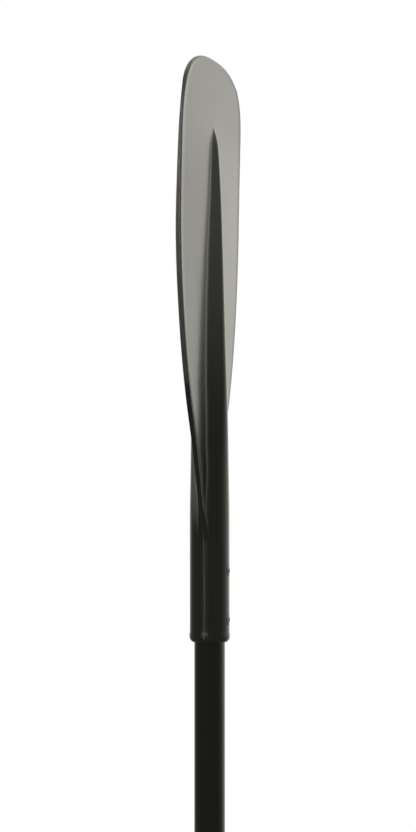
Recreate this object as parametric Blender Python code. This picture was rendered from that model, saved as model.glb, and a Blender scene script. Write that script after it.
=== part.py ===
"""Stand-up paddleboard paddle: an adjustable three-piece paddle, built as an assembly.

Lengths in the constants are millimetres and are turned to metres when a piece is made.
Z runs up the shaft from the palm pad of the T-grip to the tip of the blade, X runs across
the blade, and -Y is the side of the blade that the rivets are on.
"""

import math

import bmesh
import bpy
from mathutils import Matrix, Vector

MM = 0.001

# Clearances
FIT = 0.3
MINIMUM_RISE = 0.05

# Shafts
SHAFT_RADIUS = 14.5
SHAFT_WALL = 1.5
SHAFT_BORE = SHAFT_RADIUS - SHAFT_WALL
MAIN_SHAFT_LENGTH = 740.0
GRIP_SHAFT_RADIUS = SHAFT_BORE - FIT
GRIP_SHAFT_WALL = 2.0
GRIP_SHAFT_BORE = GRIP_SHAFT_RADIUS - GRIP_SHAFT_WALL
GROOVE_WIDTH = 3.0
GROOVE_DEPTH = 0.8

# Levels along the shaft
GRIP_SHAFT_BOTTOM = 30.0
COLLAR_BOTTOM = 97.0
MAIN_SHAFT_BOTTOM = 102.0
MAIN_SHAFT_TOP = MAIN_SHAFT_BOTTOM + MAIN_SHAFT_LENGTH
SEAL_HEIGHT = 2.0
BLADE_SHAFT_BOTTOM = MAIN_SHAFT_TOP + SEAL_HEIGHT + 2 * FIT
BLADE_SHAFT_SHOWING = 257.4
NECK_MOUTH = BLADE_SHAFT_BOTTOM + BLADE_SHAFT_SHOWING
SOCKET_DEPTH = 115.0
BLADE_SHAFT_TOP = NECK_MOUTH + SOCKET_DEPTH - FIT

# Blade: heights are measured up from the mouth of the neck, and the plate's stations are
# shares of its length above the root
NECK_RADIUS = 18.7
SOCKET_RADIUS = SHAFT_RADIUS + FIT
BLADE_LENGTH = 546.4
BLADE_HALF_WIDTH = 102.3
ROOT_BOTTOM = 96.0
ROOT_TOP = 130.0
PLATE_LENGTH = BLADE_LENGTH - ROOT_TOP
TIP_LENGTH = 117.0
WIDEST_AT = BLADE_LENGTH - TIP_LENGTH
TIP_CURVE_ACROSS = 2.6
TIP_CURVE_ALONG = 5.1
ROOT_GROWTH = ((96, 0.0), (104, 0.4), (112, 1.1), (118, 2.2), (123, 4.0), (130, 7.0))
PLATE_WIDTH_SHARES = (
    (0.072, 0.369), (0.144, 0.488), (0.24, 0.674), (0.336, 0.809), (0.432, 0.902), (0.528, 0.966),
    (0.635, 0.998),
)
PLATE_SPINE = (
    (0.072, 18.2), (0.18, 17.6), (0.245, 17.0), (0.36, 15.5), (0.46, 14.3), (0.55, 13.2),
    (0.64, 11.6), (0.71, 10.0), (0.765, 8.3), (0.808, 6.5), (0.827, 4.9), (0.84, 3.2),
    (0.851, 1.7), (0.86, 0.0), (1.0, 0.0),
)
SCOOP = 4.4
SCOOP_FROM = 0.48
EDGE_FRONT = 1.3
EDGE_BACK = 3.5
TIP_HALF_THICKNESS = 2.0
ROOT_FRONT = ((96, 4.8), (106, 3.0), (116, 1.9), (130, EDGE_FRONT))
ROOT_BACK = ((96, 6.6), (106, 6.1), (116, 5.0), (130, EDGE_BACK))
LEAST_SPINE_CURVE = 6.8
FOOT_FILLET = 2.8
EDGE_ROUND = 1.2
LAND_BEYOND_SPINE = 0.15
CORE_BOTTOM_RADIUS = 12.0
CORE_TOP_RADIUS = 5.0
CORE_LENGTH = 185.0
MOUTH_ROUND = 3.9
MOUTH_ARC_HEIGHT = 5.4
LIP_RADIUS = 19.15
LIP_TOP = 6.8
ARC_STEPS = 5
FILLET_STEPS = 3
FACE_STEPS = 3
EDGE_PROFILE = ((1.0, 1.0), (0.35, 0.85), (0.0, 0.4), (0.0, -0.4), (0.35, -0.85), (1.0, -1.0))
ROOT_RINGS = (100, 104, 108, 112, 115, 118, 121, 124, 127, 130)
PLATE_RINGS = (
    0.024, 0.059, 0.1, 0.142, 0.194, 0.251, 0.308, 0.367, 0.427, 0.486, 0.545, 0.604, 0.664,
    0.711, 0.754, 0.787, 0.813, 0.832, 0.844, 0.856,
)
TIP_CORNER_DROP = 12.0
TIP_CORNER = BLADE_LENGTH - TIP_CORNER_DROP
TIP_RINGS = ((53.0, 51.0), (44.0, 39.0), (35.0, 27.0), (27.0, 17.0), (21.0, 8.5))
RIM_RINGS = (
    (16.0, 1.0, 1.0), (13.5, 0.35, 0.85), (TIP_CORNER_DROP, 0.0, 0.4), (TIP_CORNER_DROP, 0.0, 0.0),
)

# Blind rivets
RIVET_HEIGHTS = (21.0, 67.0)
RIVET_HEAD_RADIUS = 4.75
RIVET_HEAD_THICKNESS = 1.2
RIVET_SHANK_RADIUS = 2.4
RIVET_BLIND_RADIUS = 3.6
RIVET_BLIND_LENGTH = 3.0
RIVET_BORE = 1.5
MANDREL_RADIUS = RIVET_BORE - FIT
SPOT_FACE_DEPTH = 1.1

# Ferrule and snap button
FERRULE_RADIUS = SHAFT_BORE - FIT
FERRULE_BORE = 10.4
FERRULE_INSERTION = 85.0
FERRULE_LENGTH = 145.0
FERRULE_BOTTOM = MAIN_SHAFT_TOP - FERRULE_INSERTION
FERRULE_TOP = FERRULE_BOTTOM + FERRULE_LENGTH
FERRULE_PLUG_LENGTH = 16.0
BUTTON_BELOW_JOINT = 40.0
BUTTON_HEIGHT = MAIN_SHAFT_TOP - BUTTON_BELOW_JOINT
BUTTON_RADIUS = 4.0
BUTTON_REACH = 17.5
BUTTON_FLANGE_RADIUS = 5.0
BUTTON_FLANGE_BASE = 8.0
BUTTON_FLANGE_THICKNESS = 1.0
SPRING_WIDTH = 8.0
SPRING_THICKNESS = 0.8

# Clamp
COLLAR_HEIGHT = 50.0
COLLAR_RADIUS = 19.3
SLIT_WIDTH = 3.0
SLIT_LENGTH = 38.0
EAR_BOTTOM = 104.0
EAR_HEIGHT = 36.0
EAR_OUTER_X = 10.0
EAR_START_Y = 15.5
EAR_END_Y = 33.0
CLAMP_HEIGHT = EAR_BOTTOM + EAR_HEIGHT / 2
BOLT_Y = 25.5
BOLT_RADIUS = 2.4
BOLT_HOLE = BOLT_RADIUS + FIT
BOLT_LEFT_END = -14.0
BOLT_RIGHT_END = 21.6
NUT_FLATS = 8.0
NUT_THICKNESS = 4.0
NUT_POCKET_DEPTH = 3.0
WASHER_RADIUS = 5.0
WASHER_THICKNESS = 1.5
PIN_X = 18.5
PIN_RADIUS = 4.0
PIN_LENGTH = 22.6
LEVER_HEIGHT = 22.0
LEVER_SLOT = 6.0
CAM_RADIUS = 5.9
CAM_OFFSET = 0.5

# T-grip
GRIP_BAR_LENGTH = 112.0
GRIP_BAR_RADIUS = 15.5
GRIP_BAR_HEIGHT = 14.5
GRIP_SOCKET_RADIUS = 16.5
GRIP_SOCKET_TOP = 85.0
GRIP_RIVET_HEIGHT = 62.0
GRIP_BAR_SHAPE = (
    (0.0, 1.0), (0.48, 0.99), (0.74, 0.943), (0.877, 0.866), (0.923, 0.732), (0.968, 0.393),
    (1.0, 0.0),
)
GRIP_FLARE = ((0.85, 0.141), (1.21, 0.282), (1.115, 0.365), (1.042, 0.447), (1.0, 0.565))
GRIP_SHAFT_BELOW_FERRULE = 15.0
GRIP_SHAFT_LENGTH = FERRULE_BOTTOM - GRIP_SHAFT_BELOW_FERRULE - GRIP_SHAFT_BOTTOM
GRIP_FLOAT_LENGTH = 200.0
GRIP_FLOAT_ABOVE_RIVET = 58.0

TUBE_SIDES = 40
SMALL_SIDES = 16
SMOOTH_ANGLE = math.radians(32)


def plate_height(share):
    """The height above the neck's mouth of a share of the plate's length."""
    return ROOT_TOP + share * PLATE_LENGTH


def blade_stations():
    """The half widths, spine radii and face offsets of the blade, each as (height, size) pairs."""
    widths = [(height, NECK_RADIUS + growth) for height, growth in ROOT_GROWTH]
    for along, across in PLATE_WIDTH_SHARES:
        widths.append((plate_height(along), across * BLADE_HALF_WIDTH))
    widths.append((WIDEST_AT, BLADE_HALF_WIDTH))
    spine = [(0.0, NECK_RADIUS), (ROOT_TOP - 12.0, NECK_RADIUS)]
    spine += [(plate_height(share), radius) for share, radius in PLATE_SPINE]
    tip = [(TIP_CORNER, TIP_HALF_THICKNESS), (BLADE_LENGTH, TIP_HALF_THICKNESS)]
    front = [*ROOT_FRONT, (plate_height(0.806), EDGE_FRONT), *tip]
    back = [*ROOT_BACK, (plate_height(0.711), EDGE_BACK), *tip]
    return widths, spine, front, back


HALF_WIDTHS, SPINE_RADII, FRONT_FACE, BACK_FACE = blade_stations()


def clear_scene():
    for obj in list(bpy.data.objects):
        bpy.data.objects.remove(obj, do_unlink=True)


def material(name, colour, roughness, metallic=0.0):
    found = bpy.data.materials.get(name)
    if found:
        return found
    made = bpy.data.materials.new(name)
    made.use_nodes = True
    shader = made.node_tree.nodes["Principled BSDF"]
    shader.inputs["Base Color"].default_value = (*colour, 1.0)
    shader.inputs["Roughness"].default_value = roughness
    shader.inputs["Metallic"].default_value = metallic
    made.diffuse_color = (*colour, 1.0)
    return made


def blade_nylon():
    return material("black_glass_filled_nylon", (0.014, 0.013, 0.012), 0.22)


def shaft_black():
    return material("black_gloss_shaft", (0.008, 0.008, 0.008), 0.18)


def clamp_nylon():
    return material("black_clamp_nylon", (0.016, 0.016, 0.016), 0.42)


def rivet_metal():
    return material("black_painted_rivet", (0.02, 0.02, 0.02), 0.38, 0.6)


def plain_steel():
    return material("stainless_steel", (0.56, 0.55, 0.53), 0.3, 1.0)


def foam():
    return material("closed_cell_foam", (0.7, 0.7, 0.67), 0.9)


def rubber():
    return material("black_rubber", (0.012, 0.012, 0.012), 0.7)


def finish(name, bm, look, place=(0.0, 0.0, 0.0), parent=None):
    """Makes one named object from a bmesh in millimetres, with its origin at place."""
    bmesh.ops.remove_doubles(bm, verts=bm.verts, dist=0.002)
    bmesh.ops.dissolve_degenerate(bm, edges=bm.edges, dist=0.002)
    bmesh.ops.recalc_face_normals(bm, faces=bm.faces)
    bmesh.ops.scale(bm, vec=(MM, MM, MM), verts=bm.verts)
    mesh = bpy.data.meshes.new(name)
    bm.to_mesh(mesh)
    bm.free()
    mesh.shade_smooth()
    mesh.set_sharp_from_angle(angle=SMOOTH_ANGLE)
    obj = bpy.data.objects.new(name, mesh)
    bpy.context.scene.collection.objects.link(obj)
    obj.location = Vector(place) * MM
    if parent:
        obj.parent = parent
        obj.matrix_parent_inverse = Matrix.Translation(-parent.location)
    if look:
        mesh.materials.append(look())
    return obj


def turned(profile, sides, axis="Z"):
    """A bmesh of the (radius, height) profile spun a full turn about the axis."""
    bm = bmesh.new()
    verts = [bm.verts.new((radius, 0.0, height)) for radius, height in profile]
    edges = [bm.edges.new((verts[i - 1], verts[i])) for i in range(1, len(verts))]
    if profile[0][0] > 0:
        edges.append(bm.edges.new((verts[-1], verts[0])))
    bmesh.ops.spin(
        bm, geom=verts + edges, cent=(0, 0, 0), axis=(0, 0, 1), angle=2 * math.pi,
        steps=sides, use_merge=True,
    )
    bmesh.ops.remove_doubles(bm, verts=bm.verts, dist=0.002)
    if axis == "X":
        bmesh.ops.rotate(bm, matrix=Matrix.Rotation(math.pi / 2, 3, "Y"), verts=bm.verts)
    if axis == "-Y":
        bmesh.ops.rotate(bm, matrix=Matrix.Rotation(math.pi / 2, 3, "X"), verts=bm.verts)
    if axis == "Y":
        bmesh.ops.rotate(bm, matrix=Matrix.Rotation(-math.pi / 2, 3, "X"), verts=bm.verts)
    return bm


def tube_profile(outer, bore, length):
    return [(bore, 0.0), (outer, 0.0), (outer, length), (bore, length)]


def solid_profile(radius, length, chamfer=0.0):
    if not chamfer:
        return [(0.0, 0.0), (radius, 0.0), (radius, length), (0.0, length)]
    return [
        (0.0, 0.0), (radius - chamfer, 0.0), (radius, chamfer), (radius, length - chamfer),
        (radius - chamfer, length), (0.0, length),
    ]


def box(low, high):
    """A bmesh box between two corners."""
    bm = bmesh.new()
    bmesh.ops.create_cube(bm, size=1.0)
    low = Vector(low)
    high = Vector(high)
    bmesh.ops.scale(bm, vec=high - low, verts=bm.verts)
    bmesh.ops.translate(bm, vec=(high + low) / 2, verts=bm.verts)
    return bm


def extruded(outline, height):
    """A bmesh prism of an (x, y) outline, standing on z = 0."""
    bm = bmesh.new()
    base = bm.faces.new([bm.verts.new((x, y, 0.0)) for x, y in outline])
    out = bmesh.ops.extrude_face_region(bm, geom=[base])
    top = [item for item in out["geom"] if isinstance(item, bmesh.types.BMVert)]
    bmesh.ops.translate(bm, vec=(0, 0, height), verts=top)
    return bm


def helper(name, bm, place):
    """A hidden mesh that a Boolean takes."""
    obj = finish(name, bm, None, place)
    obj.hide_render = True
    obj.display_type = "WIRE"
    return obj


def combine(obj, other, operation):
    step = obj.modifiers.new(other.name, "BOOLEAN")
    step.operation = operation
    step.solver = "EXACT"
    step.object = other


def cut(obj, name, bm, place):
    combine(obj, helper(name, bm, place), "DIFFERENCE")


def join(obj, name, bm, place):
    combine(obj, helper(name, bm, place), "UNION")


def curve(stations, at):
    """The value at a height on a smooth curve that stays between its stations."""
    if at <= stations[0][0]:
        return stations[0][1]
    if at >= stations[-1][0]:
        return stations[-1][1]
    index = max(i for i, (height, _) in enumerate(stations) if height <= at)
    slopes = [slope_at(stations, index), slope_at(stations, index + 1)]
    (start, first), (end, last) = stations[index], stations[index + 1]
    span = end - start
    t = (at - start) / span
    return (
        first * (2 * t**3 - 3 * t**2 + 1) + last * (3 * t**2 - 2 * t**3)
        + span * (slopes[0] * (t**3 - 2 * t**2 + t) + slopes[1] * (t**3 - t**2))
    )


def slope_at(stations, index):
    """The slope that a curve takes at a station, zero at a turn or an end that is level."""
    rises = []
    for low, high in ((index - 1, index), (index, index + 1)):
        if low >= 0 and high < len(stations):
            run = stations[high][0] - stations[low][0]
            rises.append((stations[high][1] - stations[low][1]) / run)
    if len(rises) == 1:
        return rises[0]
    if rises[0] * rises[1] <= 0:
        return 0.0
    return 2 * rises[0] * rises[1] / (rises[0] + rises[1])


def tip_height(x):
    """The height of the tip's outline over a place across the blade."""
    share = 1 - (abs(x) / BLADE_HALF_WIDTH) ** TIP_CURVE_ACROSS
    return WIDEST_AT + (BLADE_LENGTH - WIDEST_AT) * share ** (1 / TIP_CURVE_ALONG)


def half_width(height):
    if height <= WIDEST_AT:
        return curve(HALF_WIDTHS, height)
    share = 1 - ((height - WIDEST_AT) / (BLADE_LENGTH - WIDEST_AT)) ** TIP_CURVE_ALONG
    return BLADE_HALF_WIDTH * share ** (1 / TIP_CURVE_ACROSS)


def scoop(height):
    """How far the plate has curved toward its front face at a height."""
    start = plate_height(SCOOP_FROM)
    share = max(height - start, 0.0) / (BLADE_LENGTH - start)
    return SCOOP * share**2


def outline_normal(height):
    """The outward direction (across, up) of the blade's outline at a height."""
    step = 0.05
    slope = (half_width(height + step) - half_width(height - step)) / (2 * step)
    size = math.hypot(1.0, slope)
    return 1.0 / size, -slope / size


def face_side(top, radius, face, end):
    """(across, out) points from the spine's crest, down its side and its foot, to the face's end."""
    middle = top - radius
    drop = face - middle
    limit = end - 2 * MINIMUM_RISE
    room = (limit**2 - radius**2 + drop**2) / (2 * (radius - drop))
    fillet = min(FOOT_FILLET, max(room, MINIMUM_RISE))
    foot = math.sqrt((radius + fillet) ** 2 - (drop + fillet) ** 2)
    lean = math.atan2(drop + fillet, foot)
    points = []
    for i in range(ARC_STEPS + 1):
        turn = math.pi / 2 + (lean - math.pi / 2) * i / ARC_STEPS
        points.append((radius * math.cos(turn), middle + radius * math.sin(turn)))
    points[0] = (0.0, top)
    for i in range(1, FILLET_STEPS + 1):
        turn = math.pi + lean + (math.pi / 2 - lean) * i / FILLET_STEPS
        points.append((foot + fillet * math.cos(turn), face + fillet + fillet * math.sin(turn)))
    for i in range(1, FACE_STEPS + 1):
        points.append((foot + (end - foot) * i / FACE_STEPS, face))
    return points


def blade_ring(edge_height, centre_height, rim_offset=1.0, rim_share=1.0):
    """One closed ring of the blade: points (x, y, z) with z up from the neck's mouth."""
    front = curve(FRONT_FACE, edge_height)
    back = curve(BACK_FACE, edge_height)
    spine = curve(SPINE_RADII, centre_height)
    radius = max(spine, LEAST_SPINE_CURVE)
    half = half_width(edge_height)
    across, up = outline_normal(edge_height)
    middle = (front - back) / 2
    tops = (max(spine, front + MINIMUM_RISE), max(spine, back + MINIMUM_RISE))
    sides = []
    rounds = []
    for face, top in zip((front, back), tops):
        flush = math.sqrt(max(radius**2 - (face - top + radius) ** 2, 0.0)) + LAND_BEYOND_SPINE
        reach = min(rim_offset, 1.0) * EDGE_ROUND
        end = max(half - reach * across, flush)
        sides.append(face_side(top, radius, face, end))
        rounds.append(half - end)
    end_height = edge_height - min(rim_offset, 1.0) * EDGE_ROUND * up

    def lifted(x, end):
        share = min(abs(x) / end, 1.0)
        bow = (tip_height(share * half_width(TIP_CORNER)) - TIP_CORNER) / TIP_CORNER_DROP
        return end_height + (centre_height - end_height) * bow

    right = []
    for x, out in sides[0]:
        right.append((x, middle + rim_share * (out - middle), lifted(x, sides[0][-1][0])))
    half_thick = (front + back) / 2
    for offset, share in EDGE_PROFILE[1:-1]:
        side = rounds[0] if share > 0 else rounds[1]
        inward = min(offset, rim_offset) / max(min(rim_offset, 1.0), 0.001)
        flat = math.copysign(min(abs(share), rim_share), share)
        height = edge_height - min(offset, rim_offset) * EDGE_ROUND * up
        right.append((half - inward * side, middle + flat * half_thick, height))
    for x, out in reversed(sides[1]):
        right.append((x, middle + rim_share * (-out - middle), lifted(x, sides[1][-1][0])))
    left = [(-x, out, height) for x, out, height in reversed(right[1:-1])]
    return [(x, -out - scoop(height), height) for x, out, height in right + left]


def round_ring(pattern, radius, height):
    """A ring on a circle, with its points at the angles of the pattern's points."""
    ring = []
    for x, y, _ in pattern:
        size = math.hypot(x, y)
        ring.append((radius * x / size, radius * y / size, height))
    return ring


def blade_rings():
    """Every ring of the blade moulding, from the blind end of its core round to the tip."""
    pattern = blade_ring(ROOT_RINGS[0], ROOT_RINGS[0])
    rings = [
        round_ring(pattern, CORE_TOP_RADIUS, SOCKET_DEPTH + CORE_LENGTH),
        round_ring(pattern, CORE_BOTTOM_RADIUS, SOCKET_DEPTH),
        round_ring(pattern, SOCKET_RADIUS, SOCKET_DEPTH),
        round_ring(pattern, SOCKET_RADIUS, 0.6),
        round_ring(pattern, SOCKET_RADIUS + 0.2, 0.0),
    ]
    for i in range(4):
        turn = math.pi / 2 * i / 3
        radius = LIP_RADIUS - MOUTH_ROUND * (1 - math.sin(turn))
        rings.append(round_ring(pattern, radius, MOUTH_ARC_HEIGHT * (1 - math.cos(turn))))
    rings.append(round_ring(pattern, LIP_RADIUS, LIP_TOP))
    rings.append(round_ring(pattern, NECK_RADIUS, 11.0))
    rings.append(round_ring(pattern, NECK_RADIUS, ROOT_BOTTOM))
    heights = [*ROOT_RINGS, *(plate_height(share) for share in PLATE_RINGS)]
    rings += [blade_ring(height, height) for height in heights]
    for edge_drop, centre_drop in TIP_RINGS:
        rings.append(blade_ring(BLADE_LENGTH - edge_drop, BLADE_LENGTH - centre_drop))
    for drop, offset, share in RIM_RINGS:
        centre = BLADE_LENGTH - offset * EDGE_ROUND
        rings.append(blade_ring(BLADE_LENGTH - drop, centre, offset, share))
    return rings


def lofted(rings):
    """A bmesh that runs from ring to ring by extruding each ring's edges, closed at the first."""
    bm = bmesh.new()
    verts = [bm.verts.new(point) for point in rings[0]]
    bm.faces.new(verts)
    edges = [bm.edges.get((verts[i - 1], verts[i])) for i in range(len(verts))]
    for ring in rings[1:]:
        made = bmesh.ops.extrude_edge_only(bm, edges=edges)["geom"]
        new = {item for item in made if isinstance(item, bmesh.types.BMVert)}
        next_verts = []
        for vert in verts:
            links = [edge.other_vert(vert) for edge in vert.link_edges]
            next_verts.append(next(other for other in links if other in new))
        for vert, point in zip(next_verts, ring):
            vert.co = point
        verts = next_verts
        edges = [bm.edges.get((verts[i - 1], verts[i])) for i in range(len(verts))]
    return bm


def make_blade():
    """The blade moulding: a neck that grows into a plate with a tapering spine on both faces."""
    blade = finish("blade", lofted(blade_rings()), blade_nylon, (0, 0, NECK_MOUTH))
    for height, word in zip(RIVET_HEIGHTS, ("lower", "upper")):
        level = NECK_MOUTH + height
        spot = turned(solid_profile(RIVET_HEAD_RADIUS + FIT, 6.0), SMALL_SIDES, "-Y")
        cut(blade, f"spot_face_{word}", spot, (0, -(NECK_RADIUS - SPOT_FACE_DEPTH), level))
        hole = turned(solid_profile(RIVET_SHANK_RADIUS + FIT, 12.0), SMALL_SIDES, "-Y")
        cut(blade, f"rivet_hole_{word}", hole, (0, -10.0, level))
    return blade


def make_rivet(name, axis, seat, bore, parent=None):
    """A blind rivet and its broken-off mandrel, from a seat under its head to inside a bore.

    Both are spun about the rivet's axis, which points outward from the shaft.
    """
    sign = -1 if axis == "-Y" else 1
    place_y, height = seat
    blind_start = math.sqrt(bore**2 - RIVET_BLIND_RADIUS**2) - FIT - place_y
    blind_end = blind_start - RIVET_BLIND_LENGTH
    top = RIVET_HEAD_THICKNESS
    body = [
        (RIVET_BORE, blind_end), (RIVET_BLIND_RADIUS - 0.8, blind_end),
        (RIVET_BLIND_RADIUS, blind_end + 0.8), (RIVET_BLIND_RADIUS, blind_start - 0.6),
        (RIVET_BLIND_RADIUS - 0.6, blind_start), (RIVET_SHANK_RADIUS, blind_start),
        (RIVET_SHANK_RADIUS, 0.0), (RIVET_HEAD_RADIUS, 0.0), (RIVET_HEAD_RADIUS, top * 0.45),
        (RIVET_HEAD_RADIUS - 0.5, top * 0.85), (RIVET_HEAD_RADIUS - 1.4, top),
        (RIVET_BORE + 0.4, top), (RIVET_BORE, top - 0.3),
    ]
    place = (0.0, sign * place_y, height)
    finish(name, turned(body, SMALL_SIDES, axis), rivet_metal, place, parent)
    head = RIVET_BORE + 0.7
    mandrel = [
        (0.0, blind_end - 2.2), (head - 0.5, blind_end - 2.2), (head, blind_end - 1.6),
        (head, blind_end - FIT), (MANDREL_RADIUS, blind_end - FIT), (MANDREL_RADIUS, top - 0.9),
        (0.0, top - 0.9),
    ]
    finish(f"{name}_mandrel", turned(mandrel, SMALL_SIDES, axis), plain_steel, place, parent)


def make_neck_rivets():
    seat_y = NECK_RADIUS - SPOT_FACE_DEPTH + FIT
    for height, word in zip(RIVET_HEIGHTS, ("lower", "upper")):
        make_rivet(f"neck_rivet_{word}", "-Y", (seat_y, NECK_MOUTH + height), SHAFT_BORE)


def make_blade_shaft():
    length = BLADE_SHAFT_TOP - BLADE_SHAFT_BOTTOM
    profile = tube_profile(SHAFT_RADIUS, SHAFT_BORE, length)
    tube = finish("blade_shaft", turned(profile, TUBE_SIDES), shaft_black, (0, 0, BLADE_SHAFT_BOTTOM))
    for height, word in zip(RIVET_HEIGHTS, ("lower", "upper")):
        hole = turned(solid_profile(RIVET_SHANK_RADIUS + FIT, 8.0), SMALL_SIDES, "-Y")
        cut(tube, f"tube_hole_{word}", hole, (0, -9.0, NECK_MOUTH + height))
    float_bottom = FERRULE_TOP + 10.0
    plug = solid_profile(SHAFT_BORE - FIT, NECK_MOUTH - float_bottom + 5.0, 1.5)
    finish("blade_shaft_float", turned(plug, 24), foam, (0, 0, float_bottom))
    seal = [
        (FERRULE_RADIUS + FIT, 0.0), (SHAFT_RADIUS - 0.4, 0.0), (SHAFT_RADIUS, 0.4),
        (SHAFT_RADIUS, SEAL_HEIGHT - 0.4), (SHAFT_RADIUS - 0.4, SEAL_HEIGHT),
        (FERRULE_RADIUS + FIT, SEAL_HEIGHT),
    ]
    finish("ferrule_seal_ring", turned(seal, TUBE_SIDES), rubber, (0, 0, MAIN_SHAFT_TOP + FIT))


def make_main_shaft():
    profile = tube_profile(SHAFT_RADIUS, SHAFT_BORE, MAIN_SHAFT_LENGTH)
    tube = finish("main_shaft", turned(profile, TUBE_SIDES), shaft_black, (0, 0, MAIN_SHAFT_BOTTOM))
    hole = turned(solid_profile(BUTTON_RADIUS + FIT, 10.0), SMALL_SIDES, "Y")
    cut(tube, "button_hole", hole, (0, 9.0, BUTTON_HEIGHT))
    slit = box((-SLIT_WIDTH / 2, 0, -5.0), (SLIT_WIDTH / 2, 20.0, SLIT_LENGTH))
    cut(tube, "shaft_slit", slit, (0, 0, MAIN_SHAFT_BOTTOM))


def make_ferrule():
    """The ferrule that the two shafts share, its plug, and the snap button with its leaf spring."""
    length = FERRULE_TOP - FERRULE_BOTTOM
    profile = [
        (FERRULE_BORE, 0.0), (FERRULE_RADIUS - 1.0, 0.0), (FERRULE_RADIUS, 1.5),
        (FERRULE_RADIUS, length), (FERRULE_BORE, length),
    ]
    tube = finish("joint_ferrule", turned(profile, TUBE_SIDES), plain_black, (0, 0, FERRULE_BOTTOM))
    hole = turned(solid_profile(BUTTON_RADIUS + FIT, 8.0), SMALL_SIDES, "Y")
    cut(tube, "ferrule_hole", hole, (0, 8.0, BUTTON_HEIGHT))
    spigot = FERRULE_BORE - FIT
    plug = [
        (0.0, -FERRULE_PLUG_LENGTH), (spigot - 1.0, -FERRULE_PLUG_LENGTH),
        (spigot, 1.0 - FERRULE_PLUG_LENGTH), (spigot, 0.0), (FERRULE_RADIUS, 0.0),
        (FERRULE_RADIUS, 2.5), (0.0, 2.5),
    ]
    finish("ferrule_plug", turned(plug, 24), rubber, (0, 0, FERRULE_TOP + FIT))
    make_snap_spring()
    make_snap_button()


def plain_black():
    return material("black_moulded_ferrule", (0.02, 0.02, 0.02), 0.45)


def make_snap_spring():
    """A leaf bent to a V: one leg lies under the button, the other against the ferrule's bore."""
    leg = BUTTON_FLANGE_BASE - FIT - SPRING_THICKNESS / 2
    back = -(math.sqrt(FERRULE_BORE**2 - (SPRING_WIDTH / 2) ** 2) - FIT - SPRING_THICKNESS / 2)
    path = [(leg, -9.0), (leg, 7.0), (leg - 1.2, 15.0), (2.6, 31.0)]
    for i in range(1, 5):
        turn = math.pi * (0.08 + 0.84 * i / 5)
        path.append((2.6 * math.cos(turn), 32.0 + 2.6 * math.sin(turn)))
    path += [(-2.9, 31.0), (back + 1.2, 13.0), (back, 5.0), (back, -22.0)]
    outline = []
    for side in (1, -1):
        row = []
        for i, point in enumerate(path):
            before = Vector(path[max(i - 1, 0)])
            after = Vector(path[min(i + 1, len(path) - 1)])
            along = (after - before).normalized()
            offset = Vector((along.y, -along.x)) * side * SPRING_THICKNESS / 2
            row.append(Vector(point) + offset)
        outline += row if side == 1 else list(reversed(row))
    bm = extruded([(point.x, point.y) for point in outline], SPRING_WIDTH)
    bmesh.ops.translate(bm, vec=(0, 0, -SPRING_WIDTH / 2), verts=bm.verts)
    turn = Matrix(((0, 0, 1), (1, 0, 0), (0, 1, 0)))
    bmesh.ops.transform(bm, matrix=turn.to_4x4(), verts=bm.verts)
    finish("snap_spring", bm, plain_steel, (0, 0, BUTTON_HEIGHT))


def make_snap_button():
    reach = BUTTON_REACH - BUTTON_FLANGE_BASE
    rim = BUTTON_FLANGE_THICKNESS
    profile = [
        (0.0, 0.0), (BUTTON_FLANGE_RADIUS, 0.0), (BUTTON_FLANGE_RADIUS, rim), (BUTTON_RADIUS, rim),
        (BUTTON_RADIUS, reach - 1.4), (BUTTON_RADIUS - 0.6, reach - 0.5),
        (BUTTON_RADIUS - 1.8, reach), (0.0, reach),
    ]
    place = (0, BUTTON_FLANGE_BASE, BUTTON_HEIGHT)
    finish("snap_button", turned(profile, SMALL_SIDES, "Y"), plain_steel, place)


def hexagon(flats):
    """The (y, z) corners of a hexagon with two flats level."""
    radius = flats / 2 / math.cos(math.pi / 6)
    turns = [math.pi / 3 * i for i in range(6)]
    return [(radius * math.cos(turn), radius * math.sin(turn)) for turn in turns]


def along_x(bm):
    """Turns a bmesh that stands along Z so that it lies along X."""
    bmesh.ops.rotate(bm, matrix=Matrix.Rotation(math.pi / 2, 3, "Y"), verts=bm.verts)
    return bm


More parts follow.
